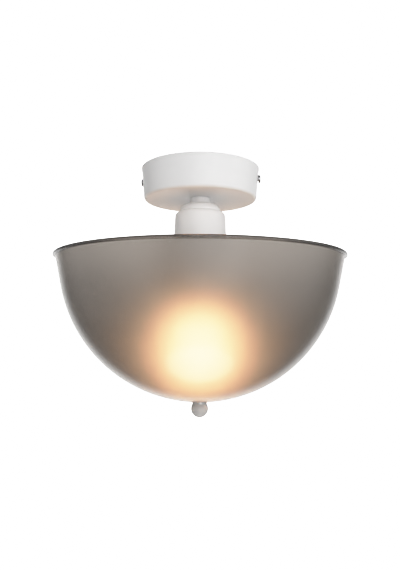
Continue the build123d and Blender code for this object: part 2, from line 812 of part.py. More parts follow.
# Threaded insert of the finial
with BuildPart() as finial_insert:
    with BuildSketch(Plane.XY.offset(finial_washer_bottom)):
        Circle(finial_insert_radius)
        Circle(stud_radius + thread_gap, mode=Mode.SUBTRACT)
    extrude(amount=-finial_insert_length)

# Bulb: contact tip
with BuildPart() as bulb_tip:
    with BuildSketch(Plane.XY.offset(bulb_top)):
        Circle(bulb_tip_radius)
    extrude(amount=-bulb_tip_height)
    fillet(bulb_tip.edges().sort_by(Axis.Z)[-1], bulb_tip_height / 2)

# Bulb: insulator between tip and screw cap
with BuildPart() as bulb_insulator:
    with BuildSketch(Plane.XZ):
        with BuildLine():
            outline(
                (0, bulb_tip_bottom, 0),
                (bulb_insulator_radius, bulb_tip_bottom, 0),
                (bulb_cap_radius - bulb_cap_round, bulb_cap_top, 0),
                (0, bulb_cap_top, 0),
            )
        make_face()
    revolve(axis=Axis.Z)

# Bulb: screw cap
with BuildPart() as bulb_screw_cap:
    with BuildSketch(Plane.XY.offset(bulb_cap_top)):
        Circle(bulb_cap_radius)
    extrude(amount=-bulb_cap_length)
    fillet(bulb_screw_cap.edges().sort_by(Axis.Z)[-1], bulb_cap_round)

# Bulb: housing
with BuildPart() as bulb_housing:
    with BuildSketch(Plane.XZ):
        with BuildLine():
            outline(
                (0, bulb_cap_bottom, 0),
                (bulb_collar_radius, bulb_cap_bottom, 0),
                (bulb_side(bulb_joint), bulb_joint, 0),
                (0, bulb_joint, 0),
            )
        make_face()
    revolve(axis=Axis.Z)

# Bulb: circuit board with its light chips
with BuildPart() as bulb_board:
    board_radius = bulb_side(bulb_joint) - bulb_wall / math.cos(side_angle) - board_edge_gap
    with BuildSketch(Plane.XY.offset(bulb_joint)):
        Circle(board_radius)
    extrude(amount=-board_thickness)
    with BuildSketch(Plane.XY.offset(bulb_joint - board_thickness)):
        with PolarLocations(board_radius - light_chip_size, light_chip_count):
            Rectangle(light_chip_size, light_chip_size)
    extrude(amount=-light_chip_height)

# Bulb: diffuser, a thin shell with a round end
with BuildPart() as bulb_diffuser:
    with BuildSketch(Plane.XZ):
        with BuildLine():
            joint_radius = bulb_side(bulb_joint)
            end_sweep = -90 - bulb_side_slope
            outer_end = CenterArc((0, bulb_centre), bulb_radius, bulb_side_slope, end_sweep)
            inner_end = CenterArc((0, bulb_centre), bulb_radius - bulb_wall, bulb_side_slope, end_sweep)
            Line(outer_end @ 1, inner_end @ 1)
            Polyline(
                outer_end @ 0,
                (joint_radius, bulb_joint),
                (joint_radius - bulb_wall / math.cos(side_angle), bulb_joint),
                inner_end @ 0,
            )
        make_face()
    revolve(axis=Axis.Z)

# Live and neutral wires: from the block, in a loop, down the tube and out to the terminals
loop_height = (block_bottom + tube_top) / 2
loop_round = wire_bend_share * (clamp_axis - loop_height)
with BuildPart() as live_wire:
    with BuildLine() as live_route:
        FilletPolyline(
            (-outer_pole, -wire_end, clamp_axis),
            (-outer_pole, -wire_loop_back, clamp_axis),
            (-outer_pole, -wire_loop_back, loop_height),
            (-wire_side, 0, loop_height),
            (-wire_side, 0, tube_bottom - wire_fan_drop),
            (-terminal_spacing / 2, 0, terminal_top + wire_fan_drop),
            (-terminal_spacing / 2, 0, terminal_top - terminal_depth),
            radius=[loop_round, loop_round, wire_entry_round, wire_fan_round, wire_fan_round],
        )
    with BuildSketch(Plane(origin=live_route.line @ 0, z_dir=live_route.line % 0)):
        Circle(wire_radius)
    sweep()

with BuildPart() as neutral_wire:
    mirror(live_wire.part, about=Plane.YZ)

# Earth wire: from the block round to the tag
with BuildPart() as earth_wire:
    with BuildLine() as earth_route:
        FilletPolyline(
            (earth_pole, -wire_end, clamp_axis),
            (earth_pole, -earth_loop_back, clamp_axis),
            (earth_place, -earth_loop_back, tag_barrel_axis),
            (earth_place, -tag_barrel_start, tag_barrel_axis),
            radius=earth_loop_round,
        )
    with BuildSketch(Plane(origin=earth_route.line @ 0, z_dir=earth_route.line % 0)):
        Circle(wire_radius)
    sweep()

pieces = {
    "ceiling_bracket": ceiling_bracket,
    "canopy": canopy,
    "canopy_side_screws": canopy_side_screws,
    "terminal_block": terminal_block,
    "terminal_tubes": terminal_tubes,
    "terminal_screws": terminal_screws,
    "block_screws": block_screws,
    "earth_tag": earth_tag,
    "earth_screw": earth_screw,
    "live_wire": live_wire,
    "neutral_wire": neutral_wire,
    "earth_wire": earth_wire,
    "threaded_tube": threaded_tube,
    "tube_lock_washer": tube_lock_washer,
    "tube_lock_nut": tube_lock_nut,
    "stem_sleeve": stem_sleeve,
    "lamp_cup": lamp_cup,
    "cup_lock_nut": cup_lock_nut,
    "lampholder_cap": lampholder_cap,
    "lampholder_skirt": lampholder_skirt,
    "lampholder_insert": lampholder_insert,
    "lampholder_shell": lampholder_shell,
    "centre_contact": centre_contact,
    "lampholder_terminals": lampholder_terminals,
    "terminal_clamp_screws": terminal_clamp_screws,
    "shade_ring": shade_ring,
    "carrier_ring": carrier_ring,
    "carrier_hoop": carrier_hoop,
    "hoop_nuts": hoop_nuts,
    "carrier_saddle": carrier_saddle,
    "carrier_stud": carrier_stud,
    "bowl": bowl,
    "bowl_washer": bowl_washer,
    "bowl_bush": bowl_bush,
    "finial_washer": finial_washer,
    "finial_ball": finial_ball,
    "finial_insert": finial_insert,
    "bulb_tip": bulb_tip,
    "bulb_insulator": bulb_insulator,
    "bulb_screw_cap": bulb_screw_cap,
    "bulb_housing": bulb_housing,
    "bulb_board": bulb_board,
    "bulb_diffuser": bulb_diffuser,
}
for name, piece in pieces.items():
    piece.part.label = name
    export_step(piece.part, f"parts/{name}.step")
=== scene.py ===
"""Looks of a semi-flush ceiling light with an open smoked glass bowl.

Sizes are in millimetres and become metres when a mesh is made. Each new piece is a surface that
is worked out as whole numpy arrays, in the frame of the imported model: the ceiling is at height
zero and the lamp's axis is Z.
"""

import functools
import logging
import math
from collections.abc import Callable, Sequence
from dataclasses import dataclass, replace
from enum import Enum
from typing import ClassVar

import bmesh
import bpy
import numpy as np
from mathutils import Matrix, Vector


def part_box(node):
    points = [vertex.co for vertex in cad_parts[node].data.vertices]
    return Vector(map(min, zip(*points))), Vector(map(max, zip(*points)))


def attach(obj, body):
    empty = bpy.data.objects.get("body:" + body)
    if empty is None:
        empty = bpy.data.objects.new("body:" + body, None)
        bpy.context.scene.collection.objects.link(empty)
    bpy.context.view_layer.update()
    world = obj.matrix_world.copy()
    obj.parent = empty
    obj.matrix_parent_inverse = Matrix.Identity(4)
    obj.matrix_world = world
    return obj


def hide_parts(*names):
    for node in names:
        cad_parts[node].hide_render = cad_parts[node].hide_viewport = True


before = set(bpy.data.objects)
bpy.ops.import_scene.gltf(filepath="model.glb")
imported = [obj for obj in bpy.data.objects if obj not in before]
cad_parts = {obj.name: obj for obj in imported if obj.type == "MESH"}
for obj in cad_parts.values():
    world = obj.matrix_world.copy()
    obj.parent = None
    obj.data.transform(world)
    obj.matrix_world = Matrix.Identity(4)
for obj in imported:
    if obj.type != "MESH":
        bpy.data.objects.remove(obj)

LOG = logging.getLogger("ceiling_light")
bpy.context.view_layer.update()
MM = 0.001
TURN = 2 * math.pi

# Distance in metres under which points of a mesh become one.
MERGE = 1e-7
# Play between a thread and what sits on it.
PLAY = 0.05
# Share of a piece's radius from which a point can be on its thread.
CREST = 0.9

Colour = tuple[float, float, float]
Corner = tuple[float, float, float]
Ends = tuple[float, float]
Swell = Callable[[np.ndarray, np.ndarray, np.ndarray], np.ndarray]
Socket = bpy.types.NodeSocket

# Range that most of a noise's values lie in.
NOISE_MIDDLE: Ends = (0.3, 0.7)


class Body(Enum):
    """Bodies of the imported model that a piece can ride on."""

    FIXTURE = "fixture"
    BULB = "bulb"
    BOWL = "bowl"
    FINIAL_CARRIER = "finial_carrier"
    FINIAL = "finial"


class Facing(Enum):
    """Way that a screw's head looks, as the rotation that takes +Z there."""

    LEFT = ((0, 0, -1), (0, 1, 0), (1, 0, 0))
    RIGHT = ((0, 0, 1), (0, 1, 0), (-1, 0, 0))


@dataclass(frozen=True)
class Span:
    """Heights and reach of a CAD node, in millimetres."""

    bottom: float
    top: float
    radius: float

    @classmethod
    def of(cls, node: str) -> "Span":
        """Measure a CAD node: its lowest and highest height, and how far it reaches along +X."""
        low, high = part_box(node)
        return cls(low.z / MM, high.z / MM, high.x / MM)


@dataclass(frozen=True)
class Surface:
    """A grid of points in millimetres, whose columns run round and close."""

    points: np.ndarray
    closed_rows: bool

    def placed(self, shift: Sequence[float], facing: Facing | None = None) -> "Surface":
        """Turn the surface and then move it.

        Args:
            shift: Move along X, Y and Z.
            facing: Way that its +Z looks afterwards, or None to leave it.

        Returns:
            The moved surface.
        """
        faced = self.points if facing is None else self.points @ np.array(facing.value, float).T
        return Surface(faced + np.array(shift, float), self.closed_rows)

    def quads(self) -> np.ndarray:
        """Number the corners of the grid's faces, wound so that the enclosed volume is positive.

        The volume's sign is that of the sum of a . (b x c + c x d) over faces with corners a to d.

        Returns:
            Rows of four corner numbers.
        """
        rows, columns = self.points.shape[:2]
        numbers = np.arange(rows * columns).reshape(rows, columns)
        if self.closed_rows:
            numbers = np.vstack([numbers, numbers[:1]])
        across = np.roll(numbers, -1, axis=1)
        faces = np.stack([numbers[:-1], across[:-1], across[1:], numbers[1:]], axis=-1).reshape(-1, 4)
        corners = self.points.reshape(-1, 3)[faces]
        first = np.cross(corners[:, 1], corners[:, 2])
        second = np.cross(corners[:, 2], corners[:, 3])
        volume = np.sum(corners[:, 0] * (first + second))
        return faces if volume > 0 else faces[:, ::-1]


def rounded(
    corners: Sequence[Corner], closed: bool = True, steps: int = 7, hold: float = 0.1,
) -> np.ndarray:
    """Profile through corners, each replaced by the arc that touches both of its sides.

    The arc's centre lies on the corner's bisector, at round / sin(half the corner's angle), and a
    holding point before and after each arc keeps the shading of the flats even.

    Args:
        corners: Radius, height and round of each corner.
        closed: Whether the last corner joins the first.
        steps: Points of each arc.
        hold: Distance of the holding points.

    Returns:
        Points as rows of radius and height.
    """
    spots = np.array([corner[:2] for corner in corners], float)
    parts = []
    for place, (spot, (_, _, bend)) in enumerate(zip(spots, corners)):
        ends = not closed and place in (0, len(corners) - 1)
        if bend == 0 or ends:
            parts.append(spot[None])
            continue
        back = spots[place - 1] - spot
        on = spots[(place + 1) % len(spots)] - spot
        back_length, on_length = np.linalg.norm(back), np.linalg.norm(on)
        back, on = back / back_length, on / on_length
        half = math.acos(np.clip(back @ on, -1, 1)) / 2
        reach = bend / math.tan(half)
        middle = spot + (back + on) / np.linalg.norm(back + on) * bend / math.sin(half)
        start, stop = spot + back * reach - middle, spot + on * reach - middle
        first = math.atan2(start[1], start[0])
        sweep = (math.atan2(stop[1], stop[0]) - first + math.pi) % TURN - math.pi
        angles = first + sweep * np.linspace(0, 1, steps)
        bow = middle + bend * np.stack([np.cos(angles), np.sin(angles)], axis=1)
        before = spot + back * min(reach + hold, 0.5 * (reach + back_length))
        after = spot + on * min(reach + hold, 0.5 * (reach + on_length))
        parts += [before[None], bow, after[None]]
    return np.vstack(parts)


def ring_profile(span: Span, hole: float, inner: float, outer: float) -> np.ndarray:
    """Profile of a plain ring that fills a span.

    Args:
        span: Heights of the ring and its outer radius.
        hole: Radius of its hole.
        inner: Round of the edges at the hole.
        outer: Round of the outer edges.

    Returns:
        Points as rows of radius and height.
    """
    return rounded([
        (hole, span.top, inner), (span.radius, span.top, outer),
        (span.radius, span.bottom, outer), (hole, span.bottom, inner),
    ])


def plug_profile(span: Span, top_radius: float, upper: float, lower: float) -> np.ndarray:
    """Profile of a solid plug that fills a span, from pole to pole.

    Args:
        span: Heights of the plug and its lower radius.
        top_radius: Its upper radius.
        upper: Round of the upper edge.
        lower: Round of the lower edge.

    Returns:
        Points as rows of radius and height.
    """
    return rounded([
        (0, span.top, 0), (top_radius, span.top, upper),
        (span.radius, span.bottom, lower), (0, span.bottom, 0),
    ], closed=False)


def arc(height: float, radius: float, first: float, last: float, count: int) -> np.ndarray:
    """Arc about a point on the axis: r = R cos a, z = height + R sin a.

    Args:
        height: Height of its centre.
        radius: Its radius R.
        first: First angle, in degrees.
        last: Last angle, in degrees.
        count: How many points.

    Returns:
        Points as rows of radius and height.
    """
    angles = np.radians(np.linspace(first, last, count))
    return np.stack([radius * np.cos(angles), height + radius * np.sin(angles)], axis=1)


def refined(profile: np.ndarray, step: float, closed: bool = True) -> np.ndarray:
    """Add points along a profile so that none lie further apart than a step.

    Args:
        profile: Points as rows of radius and height.
        step: Largest spacing.
        closed: Whether the last point joins the first.

    Returns:
        The old points with even points between them along the profile's length.
    """
    path = np.vstack([profile, profile[:1]]) if closed else profile
    along = np.concatenate([[0], np.cumsum(np.linalg.norm(np.diff(path, axis=0), axis=1))])
    even = np.linspace(0, along[-1], max(2, int(along[-1] / step)))
    places = np.unique(np.round(np.concatenate([along, even]), 5))
    dense = np.stack([np.interp(places, along, side) for side in path.T], axis=1)
    return dense[:-1] if closed else dense


def about_axis(radius: np.ndarray, angle: np.ndarray, height: np.ndarray) -> np.ndarray:
    """Points about Z: x = r cos a, y = r sin a."""
    return np.stack([radius * np.cos(angle), radius * np.sin(angle), height], axis=-1)


def lathe(
    profile: np.ndarray, segments: int, closed: bool = True, swell: Swell | None = None,
) -> Surface:
    """Turn a profile about Z, with r = radius + swell(a, radius, height).

    Args:
        profile: Points as rows of radius and height.
        segments: Columns of the full turn.
        closed: Whether the profile closes, or runs from pole to pole.
        swell: Change of radius, or None.

    Returns:
        The turned surface.
    """
    angle = np.linspace(0, TURN, segments, endpoint=False)[None, :]
    radius = np.repeat(profile[:, :1], segments, axis=1)
    height = np.repeat(profile[:, 1:], segments, axis=1)
    if swell is not None:
        radius = radius + swell(angle, radius, height)
    return Surface(about_axis(radius, angle, height), closed)


@dataclass(frozen=True)
class Thread:
    """A round thread: its pitch, its depth and the plain lengths below and above it."""

    pitch: float
    depth: float
    below: float
    above: float

    def swell(self, bottom: float, top: float, least: float) -> Swell:
        """Groove: depth / 2 * (cos(turn * height / pitch - angle) - 1), fading out over a pitch.

        Args:
            bottom: Lower end of the threaded piece.
            top: Upper end of the threaded piece.
            least: Radius under which a point isn't on the thread.

        Returns:
            The change of radius, for a lathe.
        """
        low, high = bottom + self.below, top - self.above

        def groove(angle: np.ndarray, radius: np.ndarray, height: np.ndarray) -> np.ndarray:
            """Depth of the groove at each point.

            Args:
                angle: Angle of each column.
                radius: Radius of each point.
                height: Height of each point.

            Returns:
                The change of radius.
            """
            fade = np.clip(np.minimum(height - low, high - height) / self.pitch, 0, 1)
            wave = np.cos(TURN * height / self.pitch - angle) - 1
            return np.where(radius >= least, self.depth / 2 * wave * fade, 0)

        return groove


def notches(count: int, radius: float, cut: float, least: float) -> Swell:
    """Round notches: a circle of radius cut on the rim takes sqrt(cut^2 - d^2) at a distance d.

    Args:
        count: How many round the rim.
        radius: Radius of the rim.
        cut: Radius of each notch.
        least: Radius under which a point isn't on the rim.

    Returns:
        The change of radius, for a lathe.
    """

    def bite(angle: np.ndarray, reach: np.ndarray, height: np.ndarray) -> np.ndarray:
        """Depth of the notch at each point.

        Args:
            angle: Angle of each column.
            reach: Radius of each point.
            height: Height of each point.

        Returns:
            The change of radius.
        """
        share = (angle * count / TURN + 0.5) % 1 - 0.5
        distance = radius * share * TURN / count
        depth = np.sqrt(np.maximum(cut**2 - distance**2, 0)) + 0 * height
        return np.where(reach >= least, -depth, 0)

    return bite


@dataclass(frozen=True)
class HexNut:
    """A hexagon nut with a bore and chamfered corners."""

    flats: float
    bore: float
    face_share: float = 0.95
    lead_share: float = 0.06
    ease_share: float = 0.04
    chamfer: float = 30
    segments: int = 96

    def surface(self, low: float, high: float) -> Surface:
        """Work out the nut between two heights.

        The side's radius is flats / 2 / cos(angle from the nearest flat's middle). A cone takes the
        corners off above and below a round face.

        Args:
            low: Height of the lower face.
            high: Height of the upper face.

        Returns:
            The nut's closed surface.
        """
        angle = np.linspace(0, TURN, self.segments, endpoint=False)
        side = self.flats / 2 / np.cos(angle % (TURN / 6) - TURN / 12)
        face = np.full(self.segments, self.face_share * self.flats / 2)
        fall = (side - face) * math.tan(math.radians(self.chamfer))
        hole = np.full(self.segments, self.bore)
        lead = np.full(self.segments, self.bore + self.lead_share * self.flats)
        ease = self.ease_share * self.flats
        level = np.ones(self.segments)
        radius = np.stack([hole, hole, lead, face, side, side, face, lead])
        height = np.stack([
            level * (low + ease), level * (high - ease), level * high, level * high,
            high - fall, low + fall, level * low, level * low,
        ])
        return Surface(about_axis(radius, angle, height), True)


@dataclass(frozen=True)
class Screw:
    """A pan-head screw with a cross recess, standing on its head's seat and looking along +Z."""

    head_radius: float
    head_height: float
    shank_radius: float
    shank_length: float
    thread: Thread = Thread(0.7, 0.385, 0.0, 0.4)
    core_share: float = 0.8
    step: float = 0.14
    chamfer: float = 0.4
    foot_edge: float = 0.12
    brow_share: float = 0.62
    arm_share: float = 0.62
    bar_share: float = 0.13
    bar_slope: float = 0.12
    arm_slope: float = 1.25
    sink_share: float = 0.6
    flat_points: int = 26
    brow_points: int = 10
    segments: int = 72

    def surface(self) -> Surface:
        """Work out the screw.

        The head is a flat top with a round edge. The recess is the union of two crossed bars, whose
        depth falls off towards their ends. The shank carries a thread and ends in a chamfer.

        Returns:
            A surface from pole to pole.
        """
        rim, top, end = self.head_radius, self.head_height, -self.shank_length
        edge = self.brow_share * top
        spots = np.linspace(0, rim - edge, self.flat_points)
        flat = np.stack([spots, np.full(self.flat_points, top)], axis=1)
        brow = arc(top - edge, edge, 90, 0, self.brow_points)[1:] + (rim - edge, 0)
        foot = np.array([(rim, self.foot_edge), (rim - self.foot_edge, 0), (self.shank_radius, 0)])
        tip = np.array([
            (self.shank_radius, end + self.chamfer), (self.shank_radius - self.chamfer, end), (0, end),
        ])
        shank = refined(np.vstack([foot[-1:], tip]), self.step, closed=False)[1:]
        profile = np.vstack([flat, brow, foot, shank])
        groove = self.thread.swell(end, 0, self.core_share * self.shank_radius)

        def on_shank(angle: np.ndarray, radius: np.ndarray, height: np.ndarray) -> np.ndarray:
            """Thread only below the head's seat."""
            return np.where(height < 0, groove(angle, radius, height), 0)

        body = lathe(profile, self.segments, closed=False, swell=on_shank)
        across, along, height = np.moveaxis(body.points, -1, 0)
        arm, width = self.arm_share * rim, self.bar_share * rim
        bars = [
            np.clip((width - abs(p)) / self.bar_slope + 1, 0, 1)
            * np.clip(self.arm_slope * (arm - abs(q)) / arm, 0, 1)
            for p, q in ((across, along), (along, across))
        ]
        sunk = self.sink_share * top * np.maximum(*bars)
        dip = np.where(np.arange(len(profile))[:, None] < len(flat), sunk, 0)
        return Surface(np.stack([across, along, height - dip], axis=-1), False)


def rod(path: np.ndarray, radius: np.ndarray) -> Surface:
    """Carry a circle along a path in the XZ plane.

    A point is path + r (cos a * side + sin a * Y), where side is the tangent turned by a quarter
    turn in the plane. The two end rows shrink to points, which closes the rod.

    Args:
        path: Points along the rod, as rows of X and Z.
        radius: Radius at each point and angle.

    Returns:
        The rod's surface.
    """
    run = np.gradient(path, axis=0)
    run /= np.linalg.norm(run, axis=1, keepdims=True)
    angle = np.linspace(0, TURN, radius.shape[1], endpoint=False)[None, :]
    reach = radius * np.cos(angle)
    grid = np.stack([
        path[:, :1] - run[:, 1:] * reach, radius * np.sin(angle), path[:, 1:] + run[:, :1] * reach,
    ], axis=-1)
    centres = np.stack([path[:, 0], np.zeros(len(path)), path[:, 1]], axis=1)
    poles = [np.repeat(centres[end][None, None], radius.shape[1], axis=1) for end in (0, -1)]
    return Surface(np.concatenate([poles[0], grid, poles[1]]), False)


class Tree:
    """Shader nodes of a material or a world, with short calls to add and join them."""

    def __init__(self, owner: bpy.types.Material | bpy.types.World) -> None:
        """Take up the nodes.

        Args:
            owner: The material or the world.
        """
        owner.use_nodes = True
        self.nodes = owner.node_tree.nodes
        self.links = owner.node_tree.links

    def node(self, kind: str, settings: dict | None = None, **inputs: object) -> bpy.types.Node:
        """Add a node.

        Args:
            kind: Its Blender type, without the ShaderNode prefix.
            settings: Its own properties.
            inputs: Values or sockets for its inputs, named with underscores for spaces, or by an
                underscore and a number.

        Returns:
            The new node.
        """
        node = self.nodes.new("ShaderNode" + kind)
        for name, value in (settings or {}).items():
            setattr(node, name, value)
        for name, value in inputs.items():
            key = int(name[1:]) if name[1:].isdigit() else name.replace("_", " ")
            if isinstance(value, Socket):
                self.links.new(value, node.inputs[key])
            else:
                node.inputs[key].default_value = value
        return node


class Graph(Tree):
    """A material's nodes, round one Principled shader."""

    def __init__(self, name: str) -> None:
        """Start a material with its shader.

        Args:
            name: Name of the material.
        """
        self.material = bpy.data.materials.new(name)
        super().__init__(self.material)
        self.nodes.clear()
        self.output = self.node("OutputMaterial")
        self.shader = self.node("BsdfPrincipled")
        self.links.new(self.shader.outputs["BSDF"], self.output.inputs["Surface"])
        self.place = self.node("TexCoord").outputs["Object"]

    def set(self, **values: float | Sequence[float]) -> None:
        """Set sockets of the shader, named with underscores for spaces."""
        for name, value in values.items():
            self.shader.inputs[name.replace("_", " ")].default_value = value

    def join(self, value: Socket, name: str) -> None:
        """Link a value to a socket of the shader."""
        self.links.new(value, self.shader.inputs[name])

    def noise(self, size: float, detail: float = 2.0, stretch: Sequence[float] = (1, 1, 1)) -> Socket:
        """Noise on Object coordinates.

        Args:
            size: Size of its grains, in millimetres.
            detail: Finer layers on top.
            stretch: Scale along X, Y and Z.

        Returns:
            The noise's value.
        """
        place = self.node("Mapping", Vector=self.place, Scale=tuple(stretch)).outputs["Vector"]
        return self.node("TexNoise", Vector=place, Scale=1 / (size * MM), Detail=detail).outputs["Fac"]

    def spread(self, value: Socket, results: Ends, ends: Ends = NOISE_MIDDLE) -> Socket:
        """Map a value between two ends to a range of numbers."""
        limits = {"From_Min": ends[0], "From_Max": ends[1], "To_Min": results[0], "To_Max": results[1]}
        return self.node("MapRange", Value=value, **limits).outputs["Result"]

    def ramp(self, length: Socket, ends: Ends, results: Ends) -> Socket:
        """Map a length between two ends, in millimetres, to a range of numbers."""
        return self.spread(length, results, (ends[0] * MM, ends[1] * MM))

    def tint(self, value: Socket, first: Colour, second: Colour) -> Socket:
        """Colour between two colours by a value from 0 to 1."""
        node = self.node("Mix", {"data_type": "RGBA"}, _0=value, _6=(*first, 1), _7=(*second, 1))
        return node.outputs[2]

    def bump(self, value: Socket, height: float, strength: float) -> None:
        """Raise the surface by a value.

        Args:
            value: Height from 0 to 1.
            height: Full height, in millimetres.
            strength: Share of the effect.
        """
        node = self.node("Bump", Height=value, Distance=height * MM, Strength=strength)
        self.join(node.outputs["Normal"], "Normal")


@dataclass(frozen=True)
class Finish:
    """A finish of the record: a slot, a colour and a roughness."""

    slot: str
    colour: Colour
    roughness: float

    @functools.cache
    def material(self) -> bpy.types.Material:
        """Make the material, or give the one made before.

        Returns:
            The material, with plain values first and then the nodes of this finish.
        """
        graph = Graph(self.slot)
        graph.set(Base_Color=(*self.colour, 1), Roughness=self.roughness)
        self.dress(graph)
        return graph.material

    def dress(self, graph: Graph) -> None:
        """Set the nodes of this finish."""
        raise NotImplementedError

    def tone(self, graph: Graph, noise: Socket, darkest: float) -> Socket:
        """Colour that varies with a noise, between a darker tone and itself."""
        dark = tuple(channel * darkest for channel in self.colour)
        return graph.tint(graph.spread(noise, (0, 1)), dark, self.colour)

    def gloss(self, graph: Graph, noise: Socket, change: float) -> Socket:
        """Roughness that varies with a noise, up and down by the same change."""
        return graph.spread(noise, (self.roughness - change, self.roughness + change))


@dataclass(frozen=True)
class PowderCoat(Finish):
    """Satin powder coat: faint orange peel, and gloss that varies a little."""

    peel: float = 1.4

    def dress(self, graph: Graph) -> None:
        """Set tone, gloss and orange peel.

        Args:
            graph: Nodes of the material.
        """
        graph.join(self.tone(graph, graph.noise(size=9, detail=3), darkest=0.985), "Base Color")
        graph.join(self.gloss(graph, graph.noise(size=4, detail=3), change=0.05), "Roughness")
        graph.bump(graph.noise(self.peel, detail=1), height=0.03, strength=0.35)


@dataclass(frozen=True)
class Plate(Finish):
    """Plated or bare metal: streaks along one axis, stains and fine scratches."""

    grain: tuple[float, float, float] = (1, 1, 0.12)
    stain: float = 0.8

    def dress(self, graph: Graph) -> None:
        """Set stains, streaked gloss and scratches.

        Args:
            graph: Nodes of the material.
        """
        graph.set(Metallic=1.0)
        graph.join(self.tone(graph, graph.noise(size=5, detail=4), self.stain), "Base Color")
        streak = graph.noise(size=0.5, detail=3, stretch=self.grain)
        graph.join(self.gloss(graph, streak, change=0.1), "Roughness")
        graph.bump(streak, height=0.02, strength=0.25)


@dataclass(frozen=True)
class Moulded(Finish):
    """Moulded plastic, rubber or fired ceramic: clouded tone and a fine skin."""

    skin: float = 0.6
    cloud: float = 0.94
    depth: float = 0.3

    def dress(self, graph: Graph) -> None:
        """Set tone, gloss and skin.

        Args:
            graph: Nodes of the material.
        """
        graph.join(self.tone(graph, graph.noise(size=6, detail=3), self.cloud), "Base Color")
        skin = graph.noise(self.skin, detail=3)
        graph.join(self.gloss(graph, skin, change=0.07), "Roughness")
        graph.bump(skin, height=0.04, strength=self.depth)


@dataclass(frozen=True)
class Striped(Finish):
    """Wire insulation in two colours, in bands across its run."""

    other: Colour = (0.75, 0.62, 0.05)

    def dress(self, graph: Graph) -> None:
        """Set the bands and the plastic's gloss.

        Args:
            graph: Nodes of the material.
        """
        settings = {"bands_direction": "DIAGONAL"}
        bands = graph.node("TexWave", settings, Vector=graph.place, Scale=120.0).outputs["Fac"]
        share = graph.spread(bands, results=(0, 1), ends=(0.45, 0.55))
        graph.join(graph.tint(share, self.colour, self.other), "Base Color")
        graph.join(self.gloss(graph, graph.noise(size=0.8), change=0.06), "Roughness")


@dataclass(frozen=True)
class Lit(Finish):
    """Opal plastic that is lit from inside, whiter at its middle and warmer towards both ends."""

    glow: Colour = (1.0, 0.77, 0.5)
    ends: Colour = (0.7, 0.38, 0.12)
    strength: float = 0.85
    lower: Ends = (-204.0, -184.0)
    upper: Ends = (-164.0, -152.0)

    def dress(self, graph: Graph) -> None:
        """Set the glow, graded by height towards both ends.

        Args:
            graph: Nodes of the material.
        """
        graph.set(Emission_Strength=self.strength)
        height = graph.node("SeparateXYZ", Vector=graph.place).outputs["Z"]
        rise = graph.ramp(height, self.lower, (0, 1))
        fall = graph.ramp(height, self.upper, (1, 0))
        share = graph.node("Math", {"operation": "MULTIPLY"}, _0=rise, _1=fall).outputs["Value"]
        graph.join(graph.tint(share, self.ends, self.glow), "Emission Color")
        graph.bump(graph.noise(size=1.2), height=0.02, strength=0.2)


@dataclass(frozen=True)
class SmokedGlass(Finish):
    """Smoked glass: polished outside, etched inside, with a clear lip and the smoke in its depth."""

    mark: ClassVar[str] = "inside"
    refraction: float = 1.5
    clear_share: float = 0.93
    smoke: Colour = (0.38, 0.33, 0.28)
    density: float = 390.0
    etch_heights: Ends = (-180.0, -130.0)
    etch: Ends = (0.78, 0.63)
    lip_heights: Ends = (-98.4, -97.4)
    lip_colour: Colour = (0.54, 0.51, 0.48)
    lip_roughness: float = 0.2

    def dress(self, graph: Graph) -> None:
        """Set transmission, the etched inside, the lip and the smoke.

        Args:
            graph: Nodes of the material.
        """
        graph.set(Transmission_Weight=self.clear_share, IOR=self.refraction)
        inside = graph.node("Attribute", {"attribute_name": self.mark}).outputs["Fac"]
        height = graph.node("SeparateXYZ", Vector=graph.place).outputs["Z"]
        etch = graph.ramp(height, self.etch_heights, self.etch)
        grain = self.gloss(graph, graph.noise(size=0.9, detail=3), change=0.06)
        wall = graph.node("Mix", _0=inside, _2=grain, _3=etch).outputs[0]
        lip = graph.ramp(height, self.lip_heights, (0, 1))
        graph.join(graph.node("Mix", _0=lip, _2=wall, _3=self.lip_roughness).outputs[0], "Roughness")
        graph.join(graph.tint(lip, self.colour, self.lip_colour), "Base Color")
        smoke = graph.node("VolumeAbsorption", Color=(*self.smoke, 1), Density=self.density)
        graph.links.new(smoke.outputs["Volume"], graph.output.inputs["Volume"])


WHITE = PowderCoat("white_paint", (0.92, 0.92, 0.92), 0.42)
# Same white paint as WHITE, made darker: painted shade for the shadow that the bowl casts on the ball.
FINIAL_PAINT_WITH_PAINTED_SHADE = PowderCoat("finial_paint", (0.56, 0.54, 0.52), 0.36, 1.0)
ZINC = Plate("zinc_steel", (0.63, 0.64, 0.66), 0.34)
NICKEL = Plate("screw_nickel", (0.46, 0.46, 0.47), 0.26, (1, 1, 1), 0.7)
BRASS = Plate("brass", (0.76, 0.56, 0.25), 0.3)
HOLDER = Moulded("holder_plastic", (0.78, 0.77, 0.75), 0.45)
BLOCK = Moulded("block_plastic", (0.80, 0.80, 0.76), 0.5, 0.9)
PORCELAIN = Moulded("insert_ceramic", (0.82, 0.79, 0.73), 0.6, 0.5, 0.9)
RUBBER = Moulded("rubber", (0.03, 0.03, 0.03), 0.7, 0.4, 0.8, 0.5)
NYLON = Moulded("nylon", (0.76, 0.75, 0.70), 0.42, 0.7)
LIVE = Moulded("live_brown", (0.13, 0.05, 0.02), 0.42, 0.8, 0.85)
NEUTRAL = Moulded("neutral_blue", (0.01, 0.05, 0.27), 0.42, 0.8, 0.85)
GLASS = SmokedGlass("smoked_glass", (0.76, 0.725, 0.69), 0.22)
EARTH = Striped("earth_green", (0.03, 0.22, 0.02), 0.42)
OPAL = Lit("bulb_opal", (0.9, 0.88, 0.82), 0.4)
BULB_WHITE = Moulded("bulb_white", (0.82, 0.82, 0.80), 0.36)
BULB_NICKEL = Plate("bulb_nickel", (0.70, 0.69, 0.66), 0.24, (1, 1, 0.3), 0.86)
BULB_BLACK = Moulded("bulb_black", (0.015, 0.015, 0.015), 0.2, 0.8, 0.8, 0.1)
BOARD = Moulded("board_aluminium", (0.80, 0.80, 0.78), 0.4)


